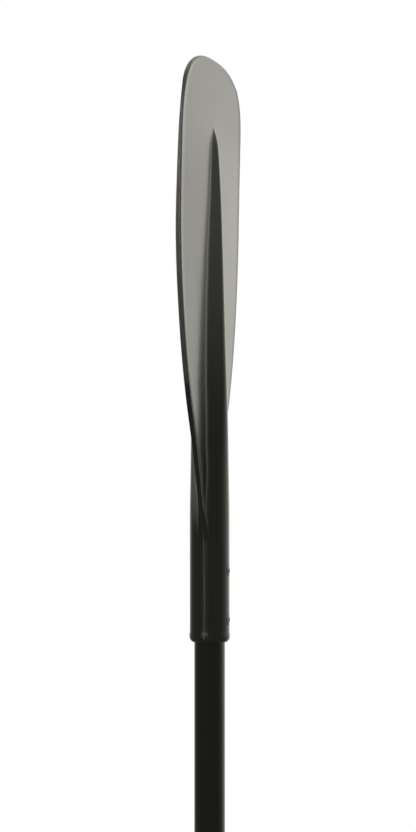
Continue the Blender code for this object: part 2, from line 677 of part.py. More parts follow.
def make_collar():
    """The collar: bonded on the main shaft, split toward +Y, with a key that runs in the groove."""
    step = MAIN_SHAFT_BOTTOM - FIT - COLLAR_BOTTOM
    lip = GRIP_SHAFT_RADIUS + FIT
    profile = [
        (lip, 0.0), (COLLAR_RADIUS - 1.2, 0.0), (COLLAR_RADIUS, 1.2),
        (COLLAR_RADIUS, COLLAR_HEIGHT - 4.0), (COLLAR_RADIUS - 2.4, COLLAR_HEIGHT),
        (SHAFT_RADIUS + FIT, COLLAR_HEIGHT), (SHAFT_RADIUS + FIT, step), (lip, step),
    ]
    place = (0, 0, COLLAR_BOTTOM)
    collar = finish("clamp_collar", turned(profile, TUBE_SIDES), clamp_nylon, place)
    ears = box((-EAR_OUTER_X, EAR_START_Y, 0), (EAR_OUTER_X, EAR_END_Y, EAR_HEIGHT))
    outer = [edge for edge in ears.edges if all(vert.co.y > EAR_END_Y - 1 for vert in edge.verts)]
    level = [edge for edge in outer if abs(edge.verts[0].co.x - edge.verts[1].co.x) > 1]
    bmesh.ops.bevel(ears, geom=level, offset=7.0, segments=4, profile=0.5, affect="EDGES")
    join(collar, "ear_block", ears, (0, 0, EAR_BOTTOM))
    slit = box((-SLIT_WIDTH / 2, 5.0, -10.0), (SLIT_WIDTH / 2, 40.0, COLLAR_HEIGHT + 10.0))
    cut(collar, "collar_slit", slit, place)
    key_half = GROOVE_WIDTH / 2 - FIT
    tip = GRIP_SHAFT_RADIUS - GROOVE_DEPTH + FIT
    key = box((-key_half, -(lip + 1.5), 0.0), (key_half, -tip, step))
    join(collar, "key_rib", key, place)
    middle = (0, BOLT_Y, CLAMP_HEIGHT)
    bolt_hole = along_x(turned(solid_profile(BOLT_HOLE, 30.0), SMALL_SIDES))
    cut(collar, "bolt_hole", bolt_hole, (-15.0, BOLT_Y, CLAMP_HEIGHT))
    pocket = along_x(extruded(hexagon(NUT_FLATS + 2 * FIT), 8.0))
    cut(collar, "nut_pocket", pocket, (-EAR_OUTER_X - 8.0 + NUT_POCKET_DEPTH, *middle[1:]))


def make_clamp_hardware():
    """The bolt across the ears, its nut and cam washer, and the barrel pin that it threads into."""
    length = BOLT_RIGHT_END - BOLT_LEFT_END
    bolt = along_x(turned(solid_profile(BOLT_RADIUS, length, 0.4), SMALL_SIDES))
    finish("clamp_bolt", bolt, plain_steel, (BOLT_LEFT_END, BOLT_Y, CLAMP_HEIGHT))
    nut_x = -EAR_OUTER_X + NUT_POCKET_DEPTH - FIT - NUT_THICKNESS
    nut = finish(
        "clamp_nut", along_x(extruded(hexagon(NUT_FLATS), NUT_THICKNESS)), plain_steel,
        (nut_x, BOLT_Y, CLAMP_HEIGHT),
    )
    nut_hole = along_x(turned(solid_profile(BOLT_HOLE, 10.0), SMALL_SIDES))
    cut(nut, "nut_bore", nut_hole, (nut_x - 3.0, BOLT_Y, CLAMP_HEIGHT))
    washer = along_x(turned(tube_profile(WASHER_RADIUS, BOLT_HOLE, WASHER_THICKNESS), 24))
    finish("cam_washer", washer, plain_steel, (EAR_OUTER_X + FIT, BOLT_Y, CLAMP_HEIGHT))
    pin_place = (PIN_X, BOLT_Y, CLAMP_HEIGHT - PIN_LENGTH / 2)
    pin_profile = solid_profile(PIN_RADIUS, PIN_LENGTH, 0.5)
    pin = finish("lever_pin", turned(pin_profile, 24), plain_steel, pin_place)
    cross = along_x(turned(solid_profile(BOLT_HOLE, 14.0), SMALL_SIDES))
    cut(pin, "pin_cross_hole", cross, (PIN_X - 7.0, BOLT_Y, CLAMP_HEIGHT))


def make_lever():
    """The cam lever: its head turns on the barrel pin and its arm wraps round the collar."""
    outline = [
        (-4.4, -4.2), (-3.4, -9.6), (-0.6, -15.6), (1.7, -22.5), (1.9, -28.5), (0.5, -34.5),
        (-1.6, -39.0), (-1.2, -42.2), (1.6, -44.4), (4.2, -41.8), (5.9, -36.5), (7.2, -29.5),
        (7.4, -22.5), (6.8, -14.0), (6.0, -6.0), (5.2, 0.0), (0.0, 1.0),
    ]
    arm = extruded(outline, LEVER_HEIGHT)
    rims = [edge for edge in arm.edges if abs(edge.verts[0].co.z - edge.verts[1].co.z) < 1]
    bmesh.ops.bevel(arm, geom=rims, offset=0.8, segments=2, profile=0.5, affect="EDGES")
    bmesh.ops.translate(arm, vec=(0, 0, -LEVER_HEIGHT / 2), verts=arm.verts)
    place = (PIN_X, BOLT_Y, CLAMP_HEIGHT)
    lever = finish("clamp_lever", arm, clamp_nylon, place)
    head = turned(solid_profile(CAM_RADIUS, LEVER_HEIGHT, 0.6), 32)
    bmesh.ops.translate(head, vec=(-CAM_OFFSET, 0, -LEVER_HEIGHT / 2), verts=head.verts)
    join(lever, "cam_head", head, place)
    bore = turned(solid_profile(PIN_RADIUS + FIT, LEVER_HEIGHT + 4.0), 24)
    bmesh.ops.translate(bore, vec=(0, 0, -LEVER_HEIGHT / 2 - 2.0), verts=bore.verts)
    cut(lever, "cam_bore", bore, place)
    low = (-12.0, -3.0, -LEVER_SLOT / 2)
    cut(lever, "lever_slot", box(low, (12.0, 12.0, LEVER_SLOT / 2)), place)


def make_grip_section():
    """The sliding section: grip shaft, its guide bush and float, the T-grip and its rivet."""
    section = bpy.data.objects.new("grip_section", None)
    bpy.context.scene.collection.objects.link(section)
    section.location = Vector((0, 0, GRIP_SHAFT_BOTTOM)) * MM
    profile = tube_profile(GRIP_SHAFT_RADIUS, GRIP_SHAFT_BORE, GRIP_SHAFT_LENGTH)
    place = (0, 0, GRIP_SHAFT_BOTTOM)
    tube = finish("grip_shaft", turned(profile, TUBE_SIDES), shaft_black, place, section)
    groove_low = (-GROOVE_WIDTH / 2, -(GRIP_SHAFT_RADIUS + 5.0), -5.0)
    groove_floor = -(GRIP_SHAFT_RADIUS - GROOVE_DEPTH)
    groove_high = (GROOVE_WIDTH / 2, groove_floor, GRIP_SHAFT_LENGTH + 5.0)
    cut(tube, "anti_twist_groove", box(groove_low, groove_high), place)
    hole = turned(solid_profile(RIVET_SHANK_RADIUS + FIT, 8.0), SMALL_SIDES, "Y")
    cut(tube, "grip_rivet_hole", hole, (0, 8.0, GRIP_RIVET_HEIGHT))
    spigot = GRIP_SHAFT_BORE - FIT
    bush = [
        (7.0, -20.0), (spigot - 0.8, -20.0), (spigot, -19.0), (spigot, 0.0),
        (GRIP_SHAFT_RADIUS, 0.0), (GRIP_SHAFT_RADIUS, 4.0), (GRIP_SHAFT_RADIUS - 1.0, 5.0),
        (7.0, 5.0),
    ]
    bush_place = (0, 0, GRIP_SHAFT_BOTTOM + GRIP_SHAFT_LENGTH + FIT)
    finish("shaft_guide", turned(bush, 32), clamp_nylon, bush_place, section)
    plug = turned(solid_profile(spigot, GRIP_FLOAT_LENGTH, 1.5), 24)
    float_bottom = GRIP_RIVET_HEIGHT + GRIP_FLOAT_ABOVE_RIVET
    finish("grip_shaft_float", plug, foam, (0, 0, float_bottom), section)
    make_t_grip(section)
    seat = (GRIP_SOCKET_RADIUS - SPOT_FACE_DEPTH + FIT, GRIP_RIVET_HEIGHT)
    make_rivet("grip_rivet", "Y", seat, GRIP_SHAFT_BORE, section)


def make_t_grip(section):
    """The T-grip: a swelling bar with a flat palm pad, and a flared socket for the grip shaft."""
    half = GRIP_BAR_LENGTH / 2
    right = [(across * GRIP_BAR_RADIUS, along * half) for across, along in GRIP_BAR_SHAPE]
    left = [(radius, -along) for radius, along in right]
    bar_profile = left + right[-2::-1]
    bar = turned(bar_profile, 32, "X")
    bmesh.ops.translate(bar, vec=(0, 0, GRIP_BAR_HEIGHT), verts=bar.verts)
    sliced = bmesh.ops.bisect_plane(
        bar, geom=bar.verts[:] + bar.edges[:] + bar.faces[:], dist=0.001,
        plane_co=(0, 0, 0), plane_no=(0, 0, -1), clear_outer=True,
    )
    rim = [item for item in sliced["geom_cut"] if isinstance(item, bmesh.types.BMEdge)]
    bmesh.ops.contextual_create(bar, geom=rim)
    grip = finish("t_grip", bar, blade_nylon, (0, 0, 0), section)
    top = GRIP_SOCKET_TOP
    flare = [(share * GRIP_SOCKET_RADIUS, height * top) for share, height in GRIP_FLARE]
    flare.insert(0, (0.0, flare[0][1]))
    flare += [(GRIP_SOCKET_RADIUS, top - 1.2), (GRIP_SOCKET_RADIUS - 1.2, top), (0.0, top)]
    join(grip, "socket_body", turned(flare, TUBE_SIDES), (0, 0, 0))
    bore = turned(solid_profile(GRIP_SHAFT_RADIUS + FIT, GRIP_SOCKET_TOP), TUBE_SIDES)
    cut(grip, "grip_socket_bore", bore, (0, 0, GRIP_SHAFT_BOTTOM - FIT))
    spot = turned(solid_profile(RIVET_HEAD_RADIUS + FIT, 6.0), SMALL_SIDES, "Y")
    cut(grip, "grip_spot_face", spot, (0, GRIP_SOCKET_RADIUS - SPOT_FACE_DEPTH, GRIP_RIVET_HEIGHT))
    hole = turned(solid_profile(RIVET_SHANK_RADIUS + FIT, 12.0), SMALL_SIDES, "Y")
    cut(grip, "grip_wall_hole", hole, (0, 9.0, GRIP_RIVET_HEIGHT))


def main():
    clear_scene()
    make_blade()
    make_neck_rivets()
    make_blade_shaft()
    make_main_shaft()
    make_ferrule()
    make_collar()
    make_clamp_hardware()
    make_lever()
    make_grip_section()


main()
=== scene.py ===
"""Looks of an adjustable stand-up paddleboard paddle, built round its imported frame.

Lengths in the classes are millimetres. Z runs up the shaft from the palm pad of the T-grip,
X runs across the blade, and -Y is the side of the blade that the rivets are on.
"""

from __future__ import annotations

import logging
import math
from dataclasses import dataclass
from enum import Enum
from typing import Any, Sequence

import bmesh
import bpy
from bpy.types import Material, Node, NodeSocket, NodeTree, Object
from mathutils import Matrix, Vector


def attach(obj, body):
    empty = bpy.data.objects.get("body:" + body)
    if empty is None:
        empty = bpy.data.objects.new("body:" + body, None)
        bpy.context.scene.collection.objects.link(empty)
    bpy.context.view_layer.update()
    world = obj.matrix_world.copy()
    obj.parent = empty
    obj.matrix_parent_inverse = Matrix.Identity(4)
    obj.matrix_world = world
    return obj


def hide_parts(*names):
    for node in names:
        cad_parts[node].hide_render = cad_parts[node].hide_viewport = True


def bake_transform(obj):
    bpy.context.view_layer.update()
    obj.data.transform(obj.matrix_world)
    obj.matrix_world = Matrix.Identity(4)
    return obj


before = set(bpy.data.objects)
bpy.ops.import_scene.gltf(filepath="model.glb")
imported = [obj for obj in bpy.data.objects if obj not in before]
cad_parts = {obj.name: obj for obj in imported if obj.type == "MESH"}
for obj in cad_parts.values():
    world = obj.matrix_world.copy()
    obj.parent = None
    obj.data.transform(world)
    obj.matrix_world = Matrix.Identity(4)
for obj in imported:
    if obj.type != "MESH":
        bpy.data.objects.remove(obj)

LOG = logging.getLogger("paddle")
MM = 0.001

# Sizes that several classes share.
NECK_MOUTH = 1102.0
NECK_RIVETS = {"lower": 21.0, "upper": 67.0}
TUBE_RADIUS = 14.5
TUBE_BORE = 13.0
GRIP_TUBE_RADIUS = 12.7
RIVET_HOLE = 2.7
RIVET_SEAT_RADIUS = 5.05
SHARP_DEGREES = 35.0
MERGED_M = 0.000002

Point = tuple[float, float, float]
Station = tuple[float, float]
Stations = tuple[Station, ...]


class Body(Enum):
    """The moving bodies of the frame."""

    SHAFT_AND_BLADE = "shaft_and_blade"
    GRIP_SECTION = "grip_section"
    CLAMP_LEVER = "clamp_lever"
    SNAP_BUTTON = "snap_button"


class Axis(Enum):
    """The way that a turned piece's own axis points, as a turn of a piece that stands up."""

    UP = Matrix.Identity(4)
    RIGHT = Matrix.Rotation(math.pi / 2, 4, "Y")
    FRONT = Matrix.Rotation(math.pi / 2, 4, "X")
    BACK = Matrix.Rotation(-math.pi / 2, 4, "X")


# Shading


def linear(colour: str) -> tuple[float, float, float, float]:
    """Turns an sRGB hex colour to a linear one.

    Args:
        colour: "#rrggbb".

    Returns:
        Red, green, blue and alpha.
    """
    parts = [int(colour[i : i + 2], 16) / 255 for i in (1, 3, 5)]
    turned = [p / 12.92 if p <= 0.04045 else ((p + 0.055) / 1.055) ** 2.4 for p in parts]
    return (turned[0], turned[1], turned[2], 1.0)


def fill(tree: NodeTree, node: Node, inputs: dict[Any, Any]) -> None:
    """Sets a node's inputs, each from a value or by a link from another node's output."""
    for key, value in inputs.items():
        if isinstance(value, NodeSocket):
            tree.links.new(value, node.inputs[key])
        else:
            node.inputs[key].default_value = value


def add_node(
    tree: NodeTree, kind: str, inputs: dict[Any, Any] | None = None, **settings: Any
) -> Node:
    """Adds one node with its settings and its links.

    Args:
        tree: The node tree.
        kind: The node's type name after ShaderNode.
        inputs: Socket name or number to a value, or to another node's output.
        settings: Attributes of the node.

    Returns:
        The node.
    """
    made = tree.nodes.new(f"ShaderNode{kind}")
    for name, value in settings.items():
        setattr(made, name, value)
    fill(tree, made, inputs or {})
    return made


def noise(tree: NodeTree, where: NodeSocket, scale: float, detail: float) -> NodeSocket:
    """Adds a noise pattern and returns its height."""
    inputs = {"Vector": where, "Scale": scale, "Detail": detail}
    return add_node(tree, "TexNoise", inputs).outputs["Fac"]


def grey_ramp(tree: NodeTree, share: NodeSocket, places: Sequence[Station]) -> NodeSocket:
    """Adds a ramp of greys.

    Args:
        tree: The node tree.
        share: What the ramp is read at, 0 to 1.
        places: (position, grey level) pairs.

    Returns:
        The ramp's grey.
    """
    made = add_node(tree, "ValToRGB", {"Fac": share})
    elements = made.color_ramp.elements
    while len(elements) < len(places):
        elements.new(0.5)
    for element, (place, level) in zip(elements, places):
        element.position = place
        element.color = (level, level, level, 1.0)
    return made.outputs["Color"]


@dataclass(frozen=True)
class Finish:
    """A material of this object: its colours, its gloss and the pattern of its surface."""

    name: str
    slot: str
    colour: str
    worn: str
    roughness: float
    roughness_swing: float
    grain_mm: float
    grain_height_mm: float
    metallic: float = 0.0
    stretch: Point = (1.0, 1.0, 1.0)
    coat: float = 0.0
    coat_roughness: float = 0.1
    cloud_scale: float = 22.0
    scratch_mm: float = 0.0
    scratch_height_mm: float = 0.0
    # Painted light and pale marks, where the rim attribute marks them.
    marks_and_painted_light_colour: str = ""
    rim_roughness: float = 0.5

    def build(self) -> Material:
        """Makes the material, or returns it if it is already there."""
        found = bpy.data.materials.get(self.name)
        if found:
            return found
        made = bpy.data.materials.new(self.name)
        made.use_nodes = True
        tree = made.node_tree
        place = add_node(tree, "TexCoord").outputs["Object"]
        along = add_node(tree, "Mapping", {"Vector": place, "Scale": self.stretch})
        where = along.outputs["Vector"]
        cloud = noise(tree, where, self.cloud_scale, 4.0)
        tints = {"Factor": cloud, "A": linear(self.colour), "B": linear(self.worn)}
        colour = add_node(tree, "Mix", tints, data_type="RGBA").outputs["Result"]
        reach = {
            "Value": cloud, "From Min": 0.3, "From Max": 0.7,
            "To Min": self.roughness - self.roughness_swing,
            "To Max": self.roughness + self.roughness_swing,
        }
        dull = add_node(tree, "MapRange", reach).outputs["Result"]
        # Where the rim attribute marks it, the colour is painted light on the blade's rim, a
        # painted highlight on the mould's joint line and a paler gate mark, and the gloss is
        # duller.
        if self.marks_and_painted_light_colour:
            rim = add_node(tree, "Attribute", attribute_name="rim").outputs["Fac"]
            tints = {"Factor": rim, "A": colour, "B": linear(self.marks_and_painted_light_colour)}
            colour = add_node(tree, "Mix", tints, data_type="RGBA").outputs["Result"]
            gloss = {"Factor": rim, "A": dull, "B": self.rim_roughness}
            dull = add_node(tree, "Mix", gloss).outputs["Result"]
        grain = noise(tree, where, 1 / (self.grain_mm * MM), 2.0)
        rise = {"Height": grain, "Distance": self.grain_height_mm * MM}
        normal = add_node(tree, "Bump", rise).outputs["Normal"]
        if self.scratch_mm:
            scuffs = self.scratches(tree, place)
            rise = {"Height": scuffs, "Distance": self.scratch_height_mm * MM, "Normal": normal}
            normal = add_node(tree, "Bump", rise).outputs["Normal"]
        looks = {
            "Base Color": colour, "Roughness": dull, "Normal": normal, "Metallic": self.metallic,
            "Coat Weight": self.coat, "Coat Roughness": self.coat_roughness,
        }
        fill(tree, tree.nodes["Principled BSDF"], looks)
        return made

    def scratches(self, tree: NodeTree, place: NodeSocket) -> NodeSocket:
        """Adds fine scuffs that run mostly along the shaft.

        Args:
            tree: The material's tree.
            place: Object coordinates.

        Returns:
            The height of the scuffs, 0 to 1.
        """
        lean = {"Vector": place, "Rotation": (0.0, 0.12, 0.0), "Scale": (1.0, 1.0, 0.05)}
        leaning = add_node(tree, "Mapping", lean).outputs["Vector"]
        lines = noise(tree, leaning, 1 / (self.scratch_mm * MM), 3.0)
        return grey_ramp(tree, lines, [(0.60, 0.0), (0.72, 1.0)])


# Glass-filled nylon 6, moulded in a polished tool: deep black, glossy at a low angle, with a
# soft unevenness from the fibres and the flow of the melt. Its trimmed rim is duller; its paler
# colour is painted light that fades out toward the root, and the paler line along the
# mould's joint is a painted highlight.
BLADE_NYLON = Finish(
    name="glass_filled_nylon", slot="blade_nylon", colour="#131210", worn="#181715",
    roughness=0.18, roughness_swing=0.015, grain_mm=3.2, grain_height_mm=0.004,
    scratch_mm=1.3, scratch_height_mm=0.004, marks_and_painted_light_colour="#353430", rim_roughness=0.45,
)
# Drawn aluminium tube, black anodised and sealed: darker and smoother than the nylon, with faint
# lines along the draw.
BLACK_TUBE = Finish(
    name="black_anodised_tube", slot="shaft_tube", colour="#0b0b0a", worn="#0f0f0e",
    roughness=0.13, roughness_swing=0.02, grain_mm=0.9, grain_height_mm=0.002,
    stretch=(1.0, 1.0, 0.02),
)
# Nylon 6 moulded in a spark-eroded tool: an even fine matt.
CLAMP_NYLON = Finish(
    name="spark_eroded_nylon", slot="clamp_nylon", colour="#1a1a19", worn="#212120",
    roughness=0.46, roughness_swing=0.05, grain_mm=0.5, grain_height_mm=0.03,
)
# Aluminium blind rivet with black stove paint: satin, a little rubbed.
PAINTED_RIVET = Finish(
    name="black_painted_rivet", slot="rivet_metal", colour="#1c1b1a", worn="#2a2927",
    roughness=0.34, roughness_swing=0.06, grain_mm=0.6, grain_height_mm=0.006, coat=0.3,
)
# Stainless steel, turned or rolled: fine tool lines and a slightly warm grey.
STEEL = Finish(
    name="stainless_steel", slot="stainless_steel", colour="#c2c0bc", worn="#aeaca8",
    roughness=0.26, roughness_swing=0.06, grain_mm=0.35, grain_height_mm=0.006, metallic=1.0,
)
# EPDM rubber, moulded: a dull dark grey.
RUBBER = Finish(
    name="epdm_rubber", slot="seal_rubber", colour="#191918", worn="#232321", roughness=0.7,
    roughness_swing=0.08, grain_mm=0.8, grain_height_mm=0.01,
)
# Polyethylene foam, cut from a rod: pale, with closed cells about 1 mm across.
FOAM = Finish(
    name="polyethylene_foam", slot="float_foam", colour="#d9d8d2", worn="#c6c5bf", roughness=0.9,
    roughness_swing=0.05, grain_mm=1.1, grain_height_mm=0.25,
)


# Modelling


def start(kind: str, **settings: Any) -> Object:
    """Adds a primitive with nothing else selected, and opens it in edit mode.

    Args:
        kind: The middle of the primitive operator's name.
        settings: The operator's arguments.

    Returns:
        The new object.
    """
    bpy.ops.object.select_all(action="DESELECT")
    getattr(bpy.ops.mesh, f"primitive_{kind}_add")(**settings)
    bpy.ops.object.mode_set(mode="EDIT")
    return bpy.context.view_layer.objects.active


def only(obj: Object) -> None:
    """Makes one object the selected and active one, in object mode."""
    if bpy.context.mode != "OBJECT":
        bpy.ops.object.mode_set(mode="OBJECT")
    bpy.ops.object.select_all(action="DESELECT")
    obj.select_set(True)
    bpy.context.view_layer.objects.active = obj


def close_up() -> None:
    """Merges doubled points in edit mode, turns the faces out and leaves edit mode."""
    bpy.ops.mesh.select_all(action="SELECT")
    bpy.ops.mesh.remove_doubles(threshold=MERGED_M)
    bpy.ops.mesh.dissolve_degenerate(threshold=MERGED_M)
    bpy.ops.mesh.normals_make_consistent(inside=False)
    bpy.ops.object.mode_set(mode="OBJECT")


def settle(
    obj: Object, name: str, place: Point = (0.0, 0.0, 0.0), axis: Axis = Axis.UP
) -> Object:
    """Turns a mesh, moves it to its place in millimetres, and names it.

    Args:
        obj: The object, in object mode.
        name: Its name.
        place: Where its origin goes.
        axis: The way that its own upright axis points.

    Returns:
        The object, at the world's origin with its place in its mesh.
    """
    only(obj)
    obj.matrix_world = Matrix.Translation(Vector(place) * MM) @ axis.value @ obj.matrix_world
    bpy.ops.object.transform_apply(location=True, rotation=True, scale=True)
    obj.name = name
    obj.data.name = name
    return obj


def place_ring(obj: Object, ring: Sequence[int], points: Sequence[Point]) -> None:
    """Puts the points of a ring where they belong, in millimetres."""
    mesh = bmesh.from_edit_mesh(obj.data)
    mesh.verts.ensure_lookup_table()
    for index, point in zip(ring, points):
        mesh.verts[index].co = Vector(point) * MM
    bmesh.update_edit_mesh(obj.data)


def extrude_ring(obj: Object, ring: Sequence[int], points: Sequence[Point]) -> list[int]:
    """Extrudes the selected ring once and puts the new one in its place.

    Args:
        obj: The object in edit mode, with the ring selected.
        ring: The numbers of the ring's points.
        points: Where the new ring goes, in millimetres.

    Returns:
        The numbers of the new ring's points.
    """
    bpy.ops.mesh.extrude_region_move()
    mesh = bmesh.from_edit_mesh(obj.data)
    mesh.verts.ensure_lookup_table()
    mesh.verts.index_update()
    grown = []
    for index in ring:
        ends = (edge.other_vert(mesh.verts[index]) for edge in mesh.verts[index].link_edges)
        grown.append(next(end.index for end in ends if end.select))
    place_ring(obj, grown, points)
    return grown


def loft(rings: Sequence[Sequence[Point]], closed: bool = False) -> Object:
    """Draws a skin through rings of equal count by extruding a circle from ring to ring.

    Args:
        rings: The rings, in millimetres.
        closed: Whether the last ring is drawn on to the first.

    Returns:
        The object, in object mode.
    """
    obj = start("circle", vertices=len(rings[0]), radius=MM)
    ring = list(range(len(rings[0])))
    place_ring(obj, ring, rings[0])
    for points in [*rings[1:], *([rings[0]] if closed else [])]:
        ring = extrude_ring(obj, ring, points)
    close_up()
    return obj


def circle_ring(radius: float, height: float, sides: int) -> list[Point]:
    """A ring of points about the upright axis."""
    turns = [2 * math.pi * i / sides for i in range(sides)]
    return [(radius * math.cos(t), radius * math.sin(t), height) for t in turns]


def turned(
    name: str, profile: Sequence[Station], sides: int, place: Point,
    axis: Axis = Axis.UP, hollow: bool = False,
) -> Object:
    """A turned piece of (radius, height) points, from end to end or, if hollow, all round."""
    rings = [circle_ring(radius, height, sides) for radius, height in profile]
    return settle(loft(rings, closed=hollow), name, place, axis)


def rod(name: str, radius: float, length: float, sides: int, place: Point, axis: Axis) -> Object:
    """A plain rod that starts at a place and runs along an axis."""
    profile = [(0.0, 0.0), (radius, 0.0), (radius, length), (0.0, length)]
    return turned(name, profile, sides, place, axis)


def drilled(radius: float, length: float, place: Point, axis: Axis, sides: int = 48) -> Object:
    """A round cutter that starts at a place and runs along an axis."""
    return rod("cutter", radius, length, sides, place, axis)


def quarter(middle: Station, radii: Station, begin: float, steps: int) -> list[Station]:
    """A quarter of an ellipse with both its ends, turning left from an angle in degrees."""
    (x, y), (wide, high) = middle, radii
    turns = [math.radians(begin + 90 * i / steps) for i in range(steps + 1)]
    return [(x + wide * math.cos(turn), y + high * math.sin(turn)) for turn in turns]


def tube_profile(radius: float, inner: float, length: float, lip: float) -> list[Station]:
    """The closed profile of a tube whose outer rims are rounded, lip being their radius."""
    return [
        (inner, 0.0), *quarter((radius - lip, lip), (lip, lip), -90, 3),
        (radius, 2.5 * lip), (radius, length - 2.5 * lip),
        *quarter((radius - lip, length - lip), (lip, lip), 0, 3), (inner, length),
    ]


def apply_modifier(obj: Object, kind: str, **settings: Any) -> None:
    """Adds a modifier with its settings and applies it."""
    only(obj)
    made = obj.modifiers.new(kind.lower(), kind)
    for name, value in settings.items():
        setattr(made, name, value)
    bpy.ops.object.modifier_apply(modifier=made.name)


def bevel(obj: Object, width: float, segments: int, sharper: float) -> None:
    """Rounds the edges of a piece that are sharper than some degrees."""
    apply_modifier(
        obj, "BEVEL", width=width * MM, segments=segments, limit_method="ANGLE",
        angle_limit=math.radians(sharper),
    )


def combine(obj: Object, operation: str, *tools: Object) -> None:
    """Cuts, joins or intersects the object with each tool in turn and removes the tool."""
    for tool in tools:
        apply_modifier(obj, "BOOLEAN", operation=operation, solver="EXACT", object=tool)
        bpy.data.objects.remove(tool, do_unlink=True)


def cut(obj: Object, *tools: Object) -> None:
    """Cuts each tool from the object and removes the tool."""
    combine(obj, "DIFFERENCE", *tools)


def block(low: Point, high: Point) -> Object:
    """A plain block between two corners, used as a cutter or as the start of a piece."""
    obj = start("cube", size=MM)
    bpy.ops.transform.resize(value=Vector(high) - Vector(low))
    bpy.ops.object.mode_set(mode="OBJECT")
    return settle(obj, "block", tuple((Vector(high) + Vector(low)) / 2))


def dress(
    obj: Object, finish: Finish, node: str, body: Body | None = Body.SHAFT_AND_BLADE
) -> None:
    """Smooths a piece, gives it its material, and fastens it to its body.

    Args:
        obj: The piece.
        finish: Its finish, which has the record's material slot.
        node: The node of the frame that it stands for.
        body: The body that it rides on, or None for a piece fastened to none.
    """
    only(obj)
    bpy.ops.object.shade_smooth_by_angle(angle=math.radians(SHARP_DEGREES))
    obj.data.materials.clear()
    obj.data.materials.append(finish.build())
    if body:
        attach(obj, body.value)
    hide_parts(node)
    LOG.info("%s: %d faces", obj.name, len(obj.data.polygons))


def limited(value: float) -> float:
    """The value, held between 0 and 1."""
    return min(max(value, 0.0), 1.0)


def slope_at(stations: Sequence[Station], index: int) -> float:
    """The slope that a curve takes at a station, zero at a turn.

    Args:
        stations: The curve's stations.
        index: The station's number.

    Returns:
        The slope.
    """
    rises = []
    for low, high in ((index - 1, index), (index, index + 1)):
        if low >= 0 and high < len(stations):
            run = stations[high][0] - stations[low][0]
            rises.append((stations[high][1] - stations[low][1]) / run)
    if len(rises) == 1:
        return rises[0]
    if rises[0] * rises[1] <= 0:
        return 0.0
    return 2 * rises[0] * rises[1] / (rises[0] + rises[1])


def curve(stations: Sequence[Station], at: float) -> float:
    """Reads a smooth curve that stays between its stations.

    Args:
        stations: (place, value) pairs in order of place.
        at: The place to read.

    Returns:
        The value there.
    """
    if at <= stations[0][0]:
        return stations[0][1]
    if at >= stations[-1][0]:
        return stations[-1][1]
    index = max(i for i, (place, _) in enumerate(stations) if place <= at)
    slopes = (slope_at(stations, index), slope_at(stations, index + 1))
    (begin, first), (end, last) = stations[index], stations[index + 1]
    span = end - begin
    t = (at - begin) / span
    return (
        first * (2 * t**3 - 3 * t**2 + 1) + last * (3 * t**2 - 2 * t**3)
        + span * (slopes[0] * (t**3 - 2 * t**2 + t) + slopes[1] * (t**3 - t**2))
    )


def spread(low: float, high: float, step: float) -> list[float]:
    """Evenly spaced places from low to just under high, about a step apart."""
    count = max(1, round((high - low) / step))
    return [low + (high - low) * i / count for i in range(count)]


# The blade


@dataclass(frozen=True)
class Flank:
    """The shape of a spine's side: (height, value) stations along the blade.

    slopes are degrees off the plate, fillets radii at the foot, and wedges the plate's rise
    toward the spine.
    """

    slopes: Stations
    fillets: Stations
    wedges: Stations


